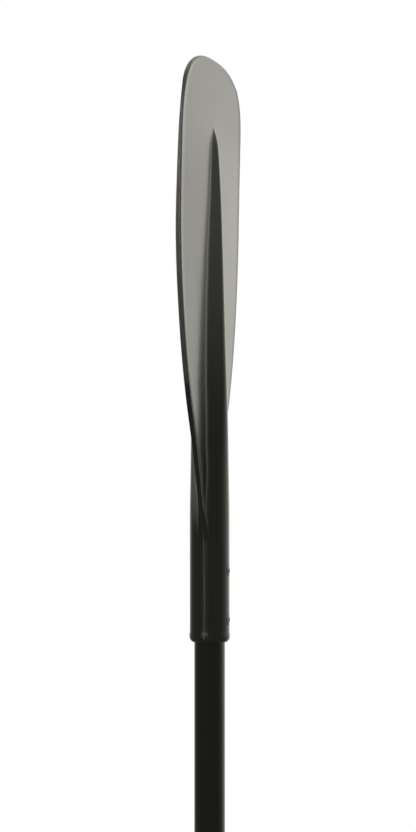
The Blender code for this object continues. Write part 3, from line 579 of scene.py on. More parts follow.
@dataclass
class BladeMoulding:
    """The moulding of neck, spines and plate. Heights count up from the mouth of the neck."""

    neck_radius: float = 18.7
    socket_radius: float = 14.8
    socket_depth: float = 115.0
    core_length: float = 185.0
    length: float = 546.4
    half_width: float = 102.3
    root: float = 96.0
    root_top: float = 130.0
    tip_length: float = 117.0
    tip_across: float = 2.6
    tip_along: float = 5.1
    tip_drop: float = 12.0
    root_growth: Stations = (
        (96, 0), (101, 0.8), (107, 2.6), (114, 4.9), (122, 7.6), (130, 10.2),
    )
    width_shares: Stations = (
        (0.072, 0.384), (0.144, 0.498), (0.24, 0.674), (0.336, 0.809), (0.432, 0.902),
        (0.528, 0.966), (0.635, 0.998),
    )
    spine_sizes: Stations = (
        (0.072, 18.2), (0.18, 17.6), (0.245, 17), (0.36, 15.5), (0.46, 14.3), (0.55, 13.2),
        (0.64, 11.6), (0.71, 10), (0.765, 8.3), (0.808, 6.5), (0.827, 4.9), (0.84, 3.2),
        (0.851, 1.7), (0.86, 0), (1, 0),
    )
    scoop: float = 4.4
    scoop_from: float = 0.48
    root_front: Stations = ((96, 5.6), (106, 4.2), (114, 2.9), (122, 1.8), (130, 1.3))
    front_until: float = 0.806
    root_back: Stations = (
        (96, 6.8), (106, 6), (114, 5.2), (122, 4.2), (130, 3.5), (152, 3.3), (187, 3.5),
    )
    plate_back: Stations = (
        (0.576, 3.6), (0.66, 3.25), (0.745, 2.7), (0.831, 1.95), (0.874, 1.5), (0.9, 1.55),
        (0.925, 2.1), (0.941, 2.25),
    )
    tip_half_thickness: float = 2.0
    crest_radii: Stations = (
        (118, 18.7), (150, 17), (190, 13.5), (246, 9.5), (284, 9), (322, 8), (369, 7), (411, 4.8),
        (454, 4.2), (480, 3.2),
    )
    crest_least: float = 3.0
    front_flank: Flank = Flank(
        slopes=(
            (118, 76), (150, 66), (190, 50), (246, 39.5), (322, 33.5), (411, 31.5), (454, 33),
            (480, 34),
        ),
        fillets=(
            (97, 0.5), (106, 4), (113, 8), (120, 9), (246, 9), (322, 10), (411, 9), (454, 7),
            (480, 4),
        ),
        wedges=(
            (118, 0.02), (133, 0.06), (150, 0.07), (187, 0.03), (218, 0.024), (246, 0.015),
            (284, 0.0145), (322, 0.017), (355, 0.0205), (411, 0.022), (454, 0.014), (478, 0.006),
            (492, 0),
        ),
    )
    back_flank: Flank = Flank(
        slopes=(
            (97, 80), (103, 62), (110, 50), (118, 45), (133, 42), (152, 41), (190, 42),
            (246, 39.5), (322, 33.5), (411, 31.5), (454, 33), (480, 34),
        ),
        fillets=(
            (97, 0.5), (103, 6), (110, 15), (118, 28), (190, 28), (246, 12), (322, 10), (411, 9),
            (454, 7), (480, 4),
        ),
        wedges=((118, 0), (218, 0.01), (411, 0.018), (454, 0.01), (492, 0)),
    )
    edge_round: float = 1.2
    bead: float = 0.15
    bead_width: float = 2.0
    bead_shape: Stations = ((1.5, 0.35), (1.1, 0.9), (0.7, 1), (0.3, 0.75), (0, 0))
    tip_bead_shape: Stations = (
        (3.4, 0), (2.8, 0.35), (2.3, 0.9), (1.9, 1), (1.5, 0.75),
    )
    flash: float = 0.12
    flash_turn: float = 0.035
    line_foot: float = 5.0
    lip_radius: float = 19.15
    lip_height: float = 11.2
    mouth_round: float = 3.9
    mouth_arc_height: float = 5.4
    gate_height: float = 7.0
    gate_size: Station = (1.5, 3.4)
    gate_rise: float = 0.45
    arc_steps: int = 13
    fillet_steps: int = 6
    face_steps: int = 9
    edge_steps: int = 5
    rim_steps: int = 7
    seat_depth: float = 1.1

    def __post_init__(self) -> None:
        """Turns the shares of the plate's length to heights."""
        self.widest = self.length - self.tip_length
        self.corner = self.length - self.tip_drop
        self.widths: list[Station] = [
            *((height, self.neck_radius + growth) for height, growth in self.root_growth),
            *((self.plate(a), b * self.half_width) for a, b in self.width_shares),
            (self.widest, self.half_width),
        ]
        self.spine: list[Station] = [
            (0, self.neck_radius), (self.root_top - 12, self.neck_radius),
            *((self.plate(share), radius) for share, radius in self.spine_sizes),
        ]
        tip = [(self.corner, self.tip_half_thickness), (self.length, self.tip_half_thickness)]
        front_end = (self.plate(self.front_until), self.root_front[-1][1])
        self.front: list[Station] = [*self.root_front, front_end, *tip]
        self.back: list[Station] = [
            *self.root_back, *((self.plate(a), out) for a, out in self.plate_back), *tip,
        ]
        self.edge = self.edge_profile()

    def plate(self, share: float) -> float:
        """The height of a share of the plate's length."""
        return self.root_top + share * (self.length - self.root_top)

    def edge_profile(self) -> list[Station]:
        """The rounded edge, without its ends, and the thin flash of the mould's joint on it.

        Returns:
            (inward, across) shares from the front face to the back one.
        """
        crest = self.flash / self.edge_round
        front = [
            *quarter((1, 0.68), (0.94 - crest, 0.32), 90, self.edge_steps)[1:],
            (crest + 0.03, 0.36), (crest, 0.07),
        ]
        return [*front, (0, 0), *((inward, -across) for inward, across in reversed(front))]

    def tip_height(self, x: float) -> float:
        """The height of the tip's outline over a place across the blade."""
        share = 1 - (abs(x) / self.half_width) ** self.tip_across
        return self.widest + self.tip_length * max(share, 0) ** (1 / self.tip_along)

    def width_at(self, height: float) -> float:
        """Half the blade's width at a height."""
        if height <= self.widest:
            return curve(self.widths, height)
        share = 1 - ((height - self.widest) / self.tip_length) ** self.tip_along
        return self.half_width * share ** (1 / self.tip_across)

    def scooped(self, height: float) -> float:
        """How far the plate has curved toward its front face at a height."""
        begin = self.plate(self.scoop_from)
        return self.scoop * (max(height - begin, 0) / (self.length - begin)) ** 2

    def outward(self, height: float) -> Station:
        """The outward direction (across, up) of the outline at a height."""
        slope = (self.width_at(height + 0.05) - self.width_at(height - 0.05)) / 0.1
        size = math.hypot(1, slope)
        return 1 / size, -slope / size

    def side(
        self, height: float, spine: float, face: float, end: float, bead: float, flank: Flank
    ) -> list[Station]:
        """One quarter of a section: crest, flank, foot fillet, face and the bead at its end.

        Args:
            height: The section's height at the spine.
            spine: How far the spine's crest stands off the middle plane.
            face: The face's height off the middle plane at its end.
            end: Where the face ends, across.
            bead: The bead's height.
            flank: The shape of this side.

        Returns:
            (across, out) points from the spine's crest to the face's end.
        """
        fillet = curve(flank.fillets, height)
        risen = face + curve(flank.wedges, height) * max(end - spine, 0)
        top = max(spine, risen + 0.004)
        radius = max(min(curve(self.crest_radii, height), top), self.crest_least)
        middle = top - radius
        steepest = math.acos((fillet + risen - middle) / (radius + fillet))
        slope = min(math.radians(curve(flank.slopes, height)), steepest)
        fall = middle + radius * math.cos(slope) - risen
        meet = radius * math.sin(slope) + fall / math.tan(slope)
        spare = (end - 0.1 - meet) / math.tan(slope / 2)
        if fillet > spare:
            fillet = max(spare, 0.01)
        foot = meet + fillet * math.tan(slope / 2)
        points = [(0, top)]
        for i in range(1, self.arc_steps + 1):
            turn = slope * i / self.arc_steps
            points.append((radius * math.sin(turn), middle + radius * math.cos(turn)))
        for i in range(self.fillet_steps + 1):
            turn = slope * (1 - i / self.fillet_steps)
            points.append((foot - fillet * math.sin(turn), risen + fillet * (1 - math.cos(turn))))
        scale = min(1, (end - foot) / (4 * self.bead_width))
        last = end - self.bead_width * scale
        for i in range(1, self.face_steps + 1):
            share = i / self.face_steps
            points.append((foot + (last - foot) * share, risen + (face - risen) * share))
        for inward, rise in self.bead_shape:
            points.append((end - inward * scale, face + bead * rise * scale))
        return points

    def section(
        self, edge_height: float, centre_height: float, offset: float = 1, flat: float = 1,
        rise: float = 0,
    ) -> list[Point]:
        """One ring round the blade.

        Args:
            edge_height: The ring's height at the blade's edges.
            centre_height: Its height at the spine, more than at the edges near the tip.
            offset: The share of the edge's rounding left, 0 on the rim itself.
            flat: The share of the thickness left, 0 on the rim itself.
            rise: How far the whole front face stands up, for the bead round the tip.

        Returns:
            The ring's points.
        """
        front = curve(self.front, edge_height)
        back = curve(self.back, edge_height)
        spine = curve(self.spine, centre_height)
        half = self.width_at(edge_height)
        across, up = self.outward(edge_height)
        middle = (front - back) / 2
        reach = offset * self.edge_round
        ends = []
        quarters = []
        sides = ((front, self.bead * flat, self.front_flank), (back, 0, self.back_flank))
        for face, bead, flank in sides:
            flush = math.sqrt(max(spine**2 - face**2, 0)) + 0.4
            ends.append(max(half - reach * across, flush))
            quarters.append(self.side(centre_height, spine, face, ends[-1], bead, flank))
        end_height = edge_height - reach * up

        def lifted(x: float, end: float) -> float:
            """The height of a point across the ring, which bows up to the tip's outline."""
            share = min(abs(x) / end, 1)
            bow = self.tip_height(share * self.width_at(self.corner)) - self.corner
            return end_height + (centre_height - end_height) * bow / self.tip_drop

        right = []
        for x, out in quarters[0]:
            high = max(out, min(out, front) + rise) if out <= front + self.bead else out
            right.append((x, middle + flat * (high - middle), lifted(x, ends[0])))
        for inward, share in self.edge:
            round_off = half - (ends[0] if share > 0 else ends[1])
            part = min(inward, offset)
            depth = part / max(offset, 0.001)
            thick = math.copysign(min(abs(share), flat), share) * (front + back) / 2
            height = edge_height - part * self.edge_round * up
            right.append((half - depth * round_off, middle + thick, height))
        for x, out in reversed(quarters[1]):
            right.append((x, middle + flat * (-out - middle), lifted(x, ends[1])))
        left = [(-x, out, height) for x, out, height in reversed(right[1:-1])]
        return [(x, -out - self.scooped(height), height) for x, out, height in right + left]

    def gate_mark(self, turn: float, height: float, radius: float) -> float:
        """The rise of the small drop left where the melt came in, low on the neck's side."""
        if radius < self.neck_radius - 0.1:
            return 0
        across = (turn - 3 * math.pi / 2) * self.neck_radius / self.gate_size[0]
        along = (height - self.gate_height) / self.gate_size[1]
        return self.gate_rise * max(0, 1 - across**2 - along**2)

    def neck_ring(self, pattern: Sequence[Point], radius: float, height: float) -> list[Point]:
        """A ring on the neck's circle, with the flash of the mould's joint at its two sides.

        Args:
            pattern: The ring that the neck grows into.
            radius: The circle's radius.
            height: Its height.

        Returns:
            The ring's points, evenly spaced low down and at the pattern's angles at the root.
        """
        count = len(pattern)
        blend = limited((height - 50) / (self.root - 50))
        ring = []
        for i, (x, y, _) in enumerate(pattern):
            grown = math.atan2(x, -y) % (2 * math.pi)
            even = 2 * math.pi * i / count
            near = min(abs(i - count // 4), abs(i - 3 * count // 4))
            if near <= 1:
                crest = math.pi / 2 if i < count // 2 else 3 * math.pi / 2
                even = crest + near * math.copysign(self.flash_turn, even - crest)
            turn = even + (grown - even) * blend
            bulge = self.flash if near == 0 and radius >= self.neck_radius - 0.5 else 0
            size = radius + bulge + self.gate_mark(turn, height, radius)
            ring.append((size * math.sin(turn), -size * math.cos(turn), height))
        return ring

    def neck_rings(self, pattern: Sequence[Point]) -> list[list[Point]]:
        """The rings of the core, the socket, the mouth and the neck, up to the root.

        Args:
            pattern: The ring that the neck grows into.

        Returns:
            The rings.
        """
        core = self.socket_depth + self.core_length
        lip = self.neck_radius - self.lip_radius
        middle = (self.lip_radius - self.mouth_round, self.mouth_arc_height)
        outline = [(0, core), (5, core), (12, self.socket_depth)]
        for height in (self.socket_depth, 90, 71, 63, 45, 25, 17, 0.6):
            outline.append((self.socket_radius, height))
        outline.append((self.socket_radius + 0.2, 0))
        outline += quarter(middle, (self.mouth_round, self.mouth_arc_height), -90, 10)
        for height in spread(6, self.lip_height, 0.5):
            fall = (1 - math.cos(math.pi * limited((height - self.lip_height + 5) / 5))) / 2
            outline.append((self.lip_radius + lip * fall, height))
        for height in (*spread(self.lip_height + 0.3, self.root, 2.5), self.root):
            outline.append((self.neck_radius, height))
        return [self.neck_ring(pattern, radius, height) for radius, height in outline]

    def plate_rings(self) -> list[list[Point]]:
        """The rings from the root to the rim of the tip.

        Returns:
            The rings.
        """
        turn_in = self.plate(0.79)
        heights = [
            *spread(self.root + 2, self.root_top, 1.6), *spread(self.root_top, turn_in, 5.5),
            *spread(turn_in, self.plate(0.86), 1.5),
        ]
        rings = [self.section(height, height) for height in heights]
        drops = [(16, 1.2), (21, 8.5), (27, 17), (35, 27), (44, 39), (53, 51), (58, 58)]
        for drop in (57 - step for step in spread(0, 37.6, 3.2)):
            rings.append(self.section(self.length - drop, self.length - curve(drops, drop)))
        for centre, rise in self.tip_bead_shape:
            drop = 16 + (centre - self.edge_round) * 0.68
            edge_height, centre_height = self.length - drop, self.length - centre
            rings.append(self.section(edge_height, centre_height, rise=rise * self.bead))
        for i in range(self.rim_steps + 1):
            turn = math.pi / 2 * i / self.rim_steps
            offset = 1 - math.sin(turn) ** 0.7 if i < self.rim_steps else 0
            drop = self.tip_drop + 4 * (1 - math.sin(turn))
            centre_height = self.length - offset * self.edge_round
            rings.append(self.section(self.length - drop, centre_height, offset, math.cos(turn)))
        return rings

    def painted_light_and_marks(self, x: float, y: float, height: float) -> float:
        """Painted light on the rim, a painted highlight on the joint line, and the gate mark's
        paleness.

        Args:
            x: Its place across the blade.
            y: Its place off the middle plane.
            height: Its height.

        Returns:
            0 for plain moulding to 1.
        """
        radius = math.hypot(x, y)
        if height > self.root + 1:
            width = self.width_at(min(height, self.length - 0.01))
            # Near the root, only the crest of the mould's joint on the rim is pale: a painted
            # highlight.
            if height < self.root_top + 10 and abs(x) > width - 0.04:
                return 0.8
            # The rim's painted light grows over 140 mm above the root's top, so the rim is darker
            # toward the root.
            depth = width - abs(x)
            if abs(x) < self.width_at(self.corner):
                depth = max(self.tip_height(x) - height, 0)
            return limited((1.05 - depth) / 0.5) * limited((height - self.root_top) / 140)
        if height > self.lip_height:
            # A painted highlight on the flash of the mould's joint along the neck.
            return 0.6 if radius > self.neck_radius + self.flash / 2 else 0
        if radius <= self.neck_radius - 0.1:
            return 0
        # A painted highlight along the mould's joint on the lip; below it, the gate mark's paler
        # tone.
        if height > self.line_foot and abs(y) < 0.1:
            return 1
        turn = math.atan2(x, -y) % (2 * math.pi)
        return limited(self.gate_mark(turn, height, self.lip_radius) * 3 / self.gate_rise)

    def build(self) -> None:
        """Lofts the moulding, marks its painted light and pale marks, sinks the rivets' seats and
        dresses it.
        """
        rings = self.neck_rings(self.section(self.root + 2, self.root + 2)) + self.plate_rings()
        obj = loft([[(x, y, NECK_MOUTH + z) for x, y, z in ring] for ring in rings])
        settle(obj, "blade_moulding")
        rim = obj.data.attributes.new("rim", "FLOAT", "POINT")
        for vert, mark in zip(obj.data.vertices, rim.data):
            x, y, z = (part / MM for part in vert.co)
            mark.value = self.painted_light_and_marks(x, y, z - NECK_MOUTH)
        inner = 10
        seat = self.neck_radius - self.seat_depth - inner
        stepped = [
            (0, 0), (RIVET_HOLE, 0), (RIVET_HOLE, seat),
            (RIVET_SEAT_RADIUS, seat), (RIVET_SEAT_RADIUS, seat + 6), (0, seat + 6),
        ]
        for height in NECK_RIVETS.values():
            # One stepped cutter a rivet: a second cut at the same seat leaves open edges.
            cut(obj, turned("cutter", stepped, 48, (0, -inner, NECK_MOUTH + height), Axis.FRONT))
        dress(obj, BLADE_NYLON, "blade")


@dataclass
class BlindRivet:
    """A blind rivet, its head outside the wall and its swollen end inside the tube's bore."""

    name: str
    body: Body
    axis: Axis
    seat: float
    height: float
    bore: float
    head_radius: float = 4.75
    head_thickness: float = 1.2
    shank_radius: float = 2.4
    blind_radius: float = 3.6
    blind_length: float = 3.0
    mandrel_bore: float = 1.5

    def build(self) -> None:
        """Turns the rivet and the mandrel that broke off inside it."""
        blind = math.sqrt(self.bore**2 - self.blind_radius**2) - 0.3 - self.seat
        end = blind - self.blind_length
        top = self.head_thickness
        profile = [
            (self.mandrel_bore, end), (self.blind_radius - 0.8, end),
            (self.blind_radius - 0.3, end + 0.3), (self.blind_radius, end + 0.9),
            (self.blind_radius, blind - 0.8), (self.blind_radius - 0.5, blind - 0.1),
            (self.shank_radius, blind), (self.shank_radius, 0), (self.head_radius - 0.15, 0),
            (self.head_radius, 0.12),
        ]
        for i in range(1, 9):
            share = i / 8
            radius = self.head_radius - (self.head_radius - self.mandrel_bore - 0.35) * share
            profile.append((radius, 0.42 + (top - 0.42) * math.sin(math.pi / 2 * share) ** 0.8))
        profile += [(self.mandrel_bore + 0.1, top - 0.06), (self.mandrel_bore, top - 0.25)]
        place = (0, self.seat * (-1 if self.axis is Axis.FRONT else 1), self.height)
        rivet = turned(f"{self.name}_body", profile, 48, place, self.axis, hollow=True)
        dress(rivet, PAINTED_RIVET, self.name, self.body)
        head = self.mandrel_bore + 0.7
        stem = self.mandrel_bore - 0.3
        broken = [
            (0, end - 2.2), (head - 0.6, end - 2.2), (head - 0.1, end - 1.9), (head, end - 1.5),
            (head, end - 0.3), (stem, end - 0.3), (stem, top - 1), (stem - 0.25, top - 0.9),
            (stem * 0.4, top - 0.98), (0, top - 0.92),
        ]
        mandrel = turned(f"{self.name}_stem", broken, 32, place, self.axis)
        dress(mandrel, STEEL, f"{self.name}_mandrel", self.body)


@dataclass
class Shafts:
    """The blade shaft, the main shaft, the seal between them and the snap button."""

    main_bottom: float = 102.0
    main_top: float = 842.0
    blade_bottom: float = 844.6
    blade_top: float = 1216.7
    rim_round: float = 0.35
    button_height: float = 802.0
    button_hole: float = 4.3
    button_reach: float = 9.5
    slit_width: float = 3.0
    slit_length: float = 38.0
    leaf: float = 0.7
    leaf_width: float = 7.8
    sides: int = 128

    def tube(self, node: str, bottom: float, top: float) -> Object:
        """An unpierced tube that stands for a node, between two heights."""
        profile = tube_profile(TUBE_RADIUS, TUBE_BORE, top - bottom, self.rim_round)
        return turned(f"{node}_tube", profile, self.sides, (0, 0, bottom), hollow=True)

    def blade_shaft(self) -> None:
        """The tube that is riveted into the neck."""
        tube = self.tube("blade_shaft", self.blade_bottom, self.blade_top)
        for height in NECK_RIVETS.values():
            cut(tube, drilled(RIVET_HOLE, 8, (0, -9, NECK_MOUTH + height), Axis.FRONT))
        dress(tube, BLACK_TUBE, "blade_shaft")

    def main_shaft(self) -> None:
        """The long tube, slit at its lower end and drilled for the button near its upper one."""
        tube = self.tube("main_shaft", self.main_bottom, self.main_top)
        half, top = self.slit_width / 2, self.main_bottom + self.slit_length
        cut(
            tube, drilled(self.button_hole, 10, (0, 9, self.button_height), Axis.BACK),
            block((-half, 0, self.main_bottom - 5), (half, 20, top)),
        )
        dress(tube, BLACK_TUBE, "main_shaft")

    def seal(self) -> None:
        """The rubber ring between the two tubes, with a small groove round its rim."""
        outline = [
            (0.4, 0), (0.1, 0.1), (0, 0.4), (0, 0.8), (0.15, 1), (0, 1.2), (0, 1.6), (0.1, 1.9),
            (0.4, 2),
        ]
        rim = [(TUBE_RADIUS - inward, height) for inward, height in outline]
        profile = [(TUBE_BORE, 0), *rim, (TUBE_BORE, 2)]
        ring = turned("shaft_seal", profile, self.sides, (0, 0, self.main_top + 0.3), hollow=True)
        dress(ring, RUBBER, "ferrule_seal_ring")

    def button(self) -> None:
        """The sprung button that holds the two shafts together."""
        reach = self.button_reach
        profile = [
            (0, 0), (4.8, 0), (5, 0.2), (5, 0.8), (4.8, 1), (4, 1),
            *quarter((2.4, reach - 1.8), (1.6, 1.8), 0, 6), (1.2, reach - 0.02), (0, reach),
        ]
        button = turned("button_pin", profile, 48, (0, 8, self.button_height), Axis.BACK)
        dress(button, STEEL, "snap_button", Body.SNAP_BUTTON)

    def spring(self) -> None:
        """The leaf spring bent to a V, its front leg at the button's foot."""
        path = [(7.3, -9), (7.3, -3), (7.3, 3), (7.3, 7), (6.1, 15), (4.2, 23)]
        for i in range(9):
            turn = math.pi * i / 8
            path.append((2.7 * math.cos(turn), 31.6 + 2.7 * math.sin(turn)))
        path += [(-6.2, 22), (-9.4, 13), (-10.6, 5), (-10.6, -8), (-10.6, -22)]
        half = self.leaf_width / 2
        rings = []
        for i, (out, up) in enumerate(path):
            (out_a, up_a), (out_b, up_b) = path[max(i - 1, 0)], path[min(i + 1, len(path) - 1)]
            scale = self.leaf / 2 / math.hypot(out_b - out_a, up_b - up_a)
            y, z = (up_b - up_a) * scale, -(out_b - out_a) * scale
            ring = []
            for x, side in ((-half, 0.8), (-half + 0.1, 1), (half - 0.1, 1), (half, 0.8)):
                ring.append((x, out + y * side, up + z * side))
            rings.append(ring + [(x, 2 * out - b, 2 * up - c) for x, b, c in reversed(ring)])
        near, far = ([(0, out, up)] * len(rings[0]) for out, up in (path[0], path[-1]))
        leaf = settle(loft([near, *rings, far]), "leaf_spring", (0, 0, self.button_height))
        dress(leaf, STEEL, "snap_spring", None)
        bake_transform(leaf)

    def build(self) -> None:
        """Builds every piece."""
        self.blade_shaft()
        self.main_shaft()
        self.seal()
        self.button()
        self.spring()


@dataclass
class Clamp:
    """The clamp on the main shaft's lower end: collar, bolt, nut, washer, pin and cam lever."""

    bottom: float = 97.0
    height: float = 50.0
    radius: float = 19.3
    fit: float = 0.3
    seat: float = 4.7
    foot_round: float = 1.2
    slit: float = 3.0
    key: Point = (1.2, 12.2, 1.5)
    ear_bottom: float = 104.0
    ear_height: float = 36.0
    ear_x: float = 10.0
    ear_start: float = 15.5
    ear_end: float = 33.0
    ear_round: float = 7.0
    bolt_y: float = 25.5
    bolt_hole: float = 2.7
    bolt_ends: Station = (-14.0, 21.6)
    bolt_radius: float = 2.4
    thread_root: float = 2.1
    thread_pitch: float = 0.8
    thread_end: float = 11.5
    nut_inner: float = 4.0
    nut_pocket: float = 3.0
    level: float = 122.0
    pin_x: float = 18.5
    pin_length: float = 22.6
    pin_hole: float = 4.3
    lever_height: float = 22.0
    lever_outline: Stations = (
        (-4.4, -4.2), (-3.4, -9.6), (-0.6, -15.6), (1.7, -22.5), (1.9, -28.5), (0.5, -34.5),
        (-1.6, -39), (-1.2, -42.2), (1.6, -44.4), (4.2, -41.8), (5.9, -36.5), (7.2, -29.5),
        (7.4, -22.5), (6.8, -14), (6, -6), (5.2, 0), (0, 1),
    )

    def on_bolt(self, x: float) -> Point:
        """A place on the bolt's axis."""
        return (x, self.bolt_y, self.level)

    def collar(self) -> None:
        """The split collar with its two ears, its key and its pocket for the nut."""
        lip = GRIP_TUBE_RADIUS + self.fit
        inside = TUBE_RADIUS + self.fit
        edge = self.foot_round
        shoulder = ((0, 6), (0.3, 3.6), (1.4, 1.4), (2.2, 0.4), (2.8, 0))
        profile = [
            (lip, 0), *quarter((self.radius - edge, edge), (edge, edge), -90, 5),
            *((self.radius - inward, self.height - drop) for inward, drop in shoulder),
            (inside, self.height), (inside, self.seat), (lip, self.seat),
        ]
        collar = turned("collar", profile, 96, (0, 0, self.bottom), hollow=True)
        combine(collar, "UNION", self.ears())
        bevel(collar, 0.7, 3, 50)
        far, half, top = self.ear_x + 5, self.slit / 2, self.bottom + self.height
        pocket = self.on_bolt(self.nut_pocket - self.ear_x - 8)
        cut(
            collar, block((-half, 5, self.bottom - 10), (half, 40, top + 10)),
            drilled(self.bolt_hole, 2 * far, self.on_bolt(-far), Axis.RIGHT),
            self.hexagon(self.nut_inner + self.fit, 8, pocket),
        )
        half, inner, outer = self.key
        low, high = (-half, -(lip + outer), self.bottom), (half, -inner, self.bottom + self.seat)
        combine(collar, "UNION", block(low, high))
        dress(collar, CLAMP_NYLON, "clamp_collar")

    def ears(self) -> Object:
        """The block that the slit parts into two ears, rounded above and below."""
        low = (-self.ear_x, self.ear_start, self.ear_bottom)
        ears = block(low, (self.ear_x, self.ear_end, self.ear_bottom + self.ear_height))
        only(ears)
        bpy.ops.object.mode_set(mode="EDIT")
        mesh = bmesh.from_edit_mesh(ears.data)
        bpy.ops.mesh.select_all(action="DESELECT")
        for edge in mesh.edges:
            ends = [vert.co / MM for vert in edge.verts]
            level = abs(ends[0].x - ends[1].x) > 1
            edge.select = level and all(end.y > self.ear_end - 1 for end in ends)
        bmesh.update_edit_mesh(ears.data)
        bpy.ops.mesh.bevel(offset=self.ear_round * MM, segments=10, affect="EDGES")
        bpy.ops.object.mode_set(mode="OBJECT")
        return ears

    def hexagon(self, inner: float, length: float, place: Point) -> Object:
        """A six-sided bar along X with two flats level, between flats twice the inner radius."""
        return rod("hexagon", inner / math.cos(math.pi / 6), length, 6, place, Axis.RIGHT)

    def nut(self) -> None:
        """The hexagon nut in the collar's pocket, its corners turned off on both faces."""
        inner = self.nut_inner
        place = self.on_bolt(self.nut_pocket - self.ear_x - self.fit - inner)
        nut = self.hexagon(inner, inner, place)
        wide = inner + 0.75
        shape = [(0, 0), (inner, 0), (wide, 0.45), (wide, 3.55), (inner, 4), (0, 4)]
        combine(nut, "INTERSECT", turned("blank", shape, 64, place, Axis.RIGHT))
        cut(nut, drilled(self.bolt_hole, 10, self.on_bolt(place[0] - 3), Axis.RIGHT))
        nut.name = "nut_in_collar"
        dress(nut, STEEL, "clamp_nut")

    def bolt(self) -> None:
        """The bolt: its end in the nut carries a real thread's ridges, drawn as rings."""
        left, right = self.bolt_ends
        radius, root, length = self.bolt_radius, self.thread_root, right - left
        profile = [(0, 0), (1.7, 0), (root, 0.4)]
        place = self.thread_pitch
        while place < self.thread_end:
            profile += [(root, place), (radius, place + 0.35), (radius, place + 0.45)]
            place += self.thread_pitch
        profile += [(radius, 12), (radius, length - 0.4), (2, length), (0, length)]
        dress(turned("bolt", profile, 48, self.on_bolt(left), Axis.RIGHT), STEEL, "clamp_bolt")

    def washer_and_pin(self) -> None:
        """The washer that the cam rubs on, and the barrel pin that the lever turns on."""
        profile = tube_profile(5, self.bolt_hole, 1.5, 0.25)
        place = self.on_bolt(self.ear_x + self.fit)
        washer = turned("washer", profile, 64, place, Axis.RIGHT, hollow=True)
        dress(washer, STEEL, "cam_washer")
        length = self.pin_length
        shape = [
            (0, 0), (3.4, 0), (3.75, 0.15), (4, 0.55), (4, length - 0.55), (3.75, length - 0.15),
            (3.4, length), (0, length),
        ]
        pin = turned("barrel_pin", shape, 64, (self.pin_x, self.bolt_y, self.level - length / 2))
        cut(pin, drilled(self.bolt_hole, 14, self.on_bolt(self.pin_x - 7), Axis.RIGHT))
        dress(pin, STEEL, "lever_pin")

    def lever(self) -> None:
        """The cam lever: its head turns on the pin, and its arm wraps round the collar."""
        smooth = smooth_outline(self.lever_outline, 5)
        low = self.level - self.lever_height / 2
        lever = start("circle", vertices=len(smooth), radius=MM, fill_type="NGON")
        points = [(self.pin_x + x, self.bolt_y + y, low) for x, y in smooth]
        place_ring(lever, range(len(smooth)), points)
        rise = {"value": (0, 0, self.lever_height * MM)}
        bpy.ops.mesh.extrude_region_move(TRANSFORM_OT_translate=rise)
        close_up()
        bevel(lever, 1.1, 4, 60)
        head = [(0, 0), (5.3, 0), (5.72, 0.18), (5.9, 0.6)]
        head += [(radius, self.lever_height - height) for radius, height in reversed(head)]
        combine(lever, "UNION", turned("head", head, 96, (self.pin_x - 0.5, self.bolt_y, low)))
        x, y, z = self.on_bolt(self.pin_x)
        cut(
            lever, drilled(self.pin_hole, self.lever_height + 4, (x, y, low - 2), Axis.UP),
            block((x - 12, y - 3, z - 3), (x + 12, y + 12, z + 3)),
        )
        lever.name = "lever"
        dress(lever, CLAMP_NYLON, "clamp_lever", Body.CLAMP_LEVER)

    def build(self) -> None:
        """Builds every piece."""
        self.collar()
        self.nut()
        self.bolt()
        self.washer_and_pin()
        self.lever()


def smooth_outline(outline: Sequence[Station], steps: int) -> list[Station]:
    """Rounds a closed outline through its own points.

    Args:
        outline: The corners, in order.
        steps: Points made for each corner.

    Returns:
        The smoother outline.
    """
    made = []
    count = len(outline)
    for i in range(count):
        before, here, after, beyond = (Vector(outline[(i + k) % count]) for k in (-1, 0, 1, 2))
        for step in range(steps):
            t = step / steps
            point = 0.5 * (
                2 * here + (after - before) * t
                + (2 * before - 5 * here + 4 * after - beyond) * t**2
                + (3 * here - before - 3 * after + beyond) * t**3
            )
            made.append((point.x, point.y))
    return made


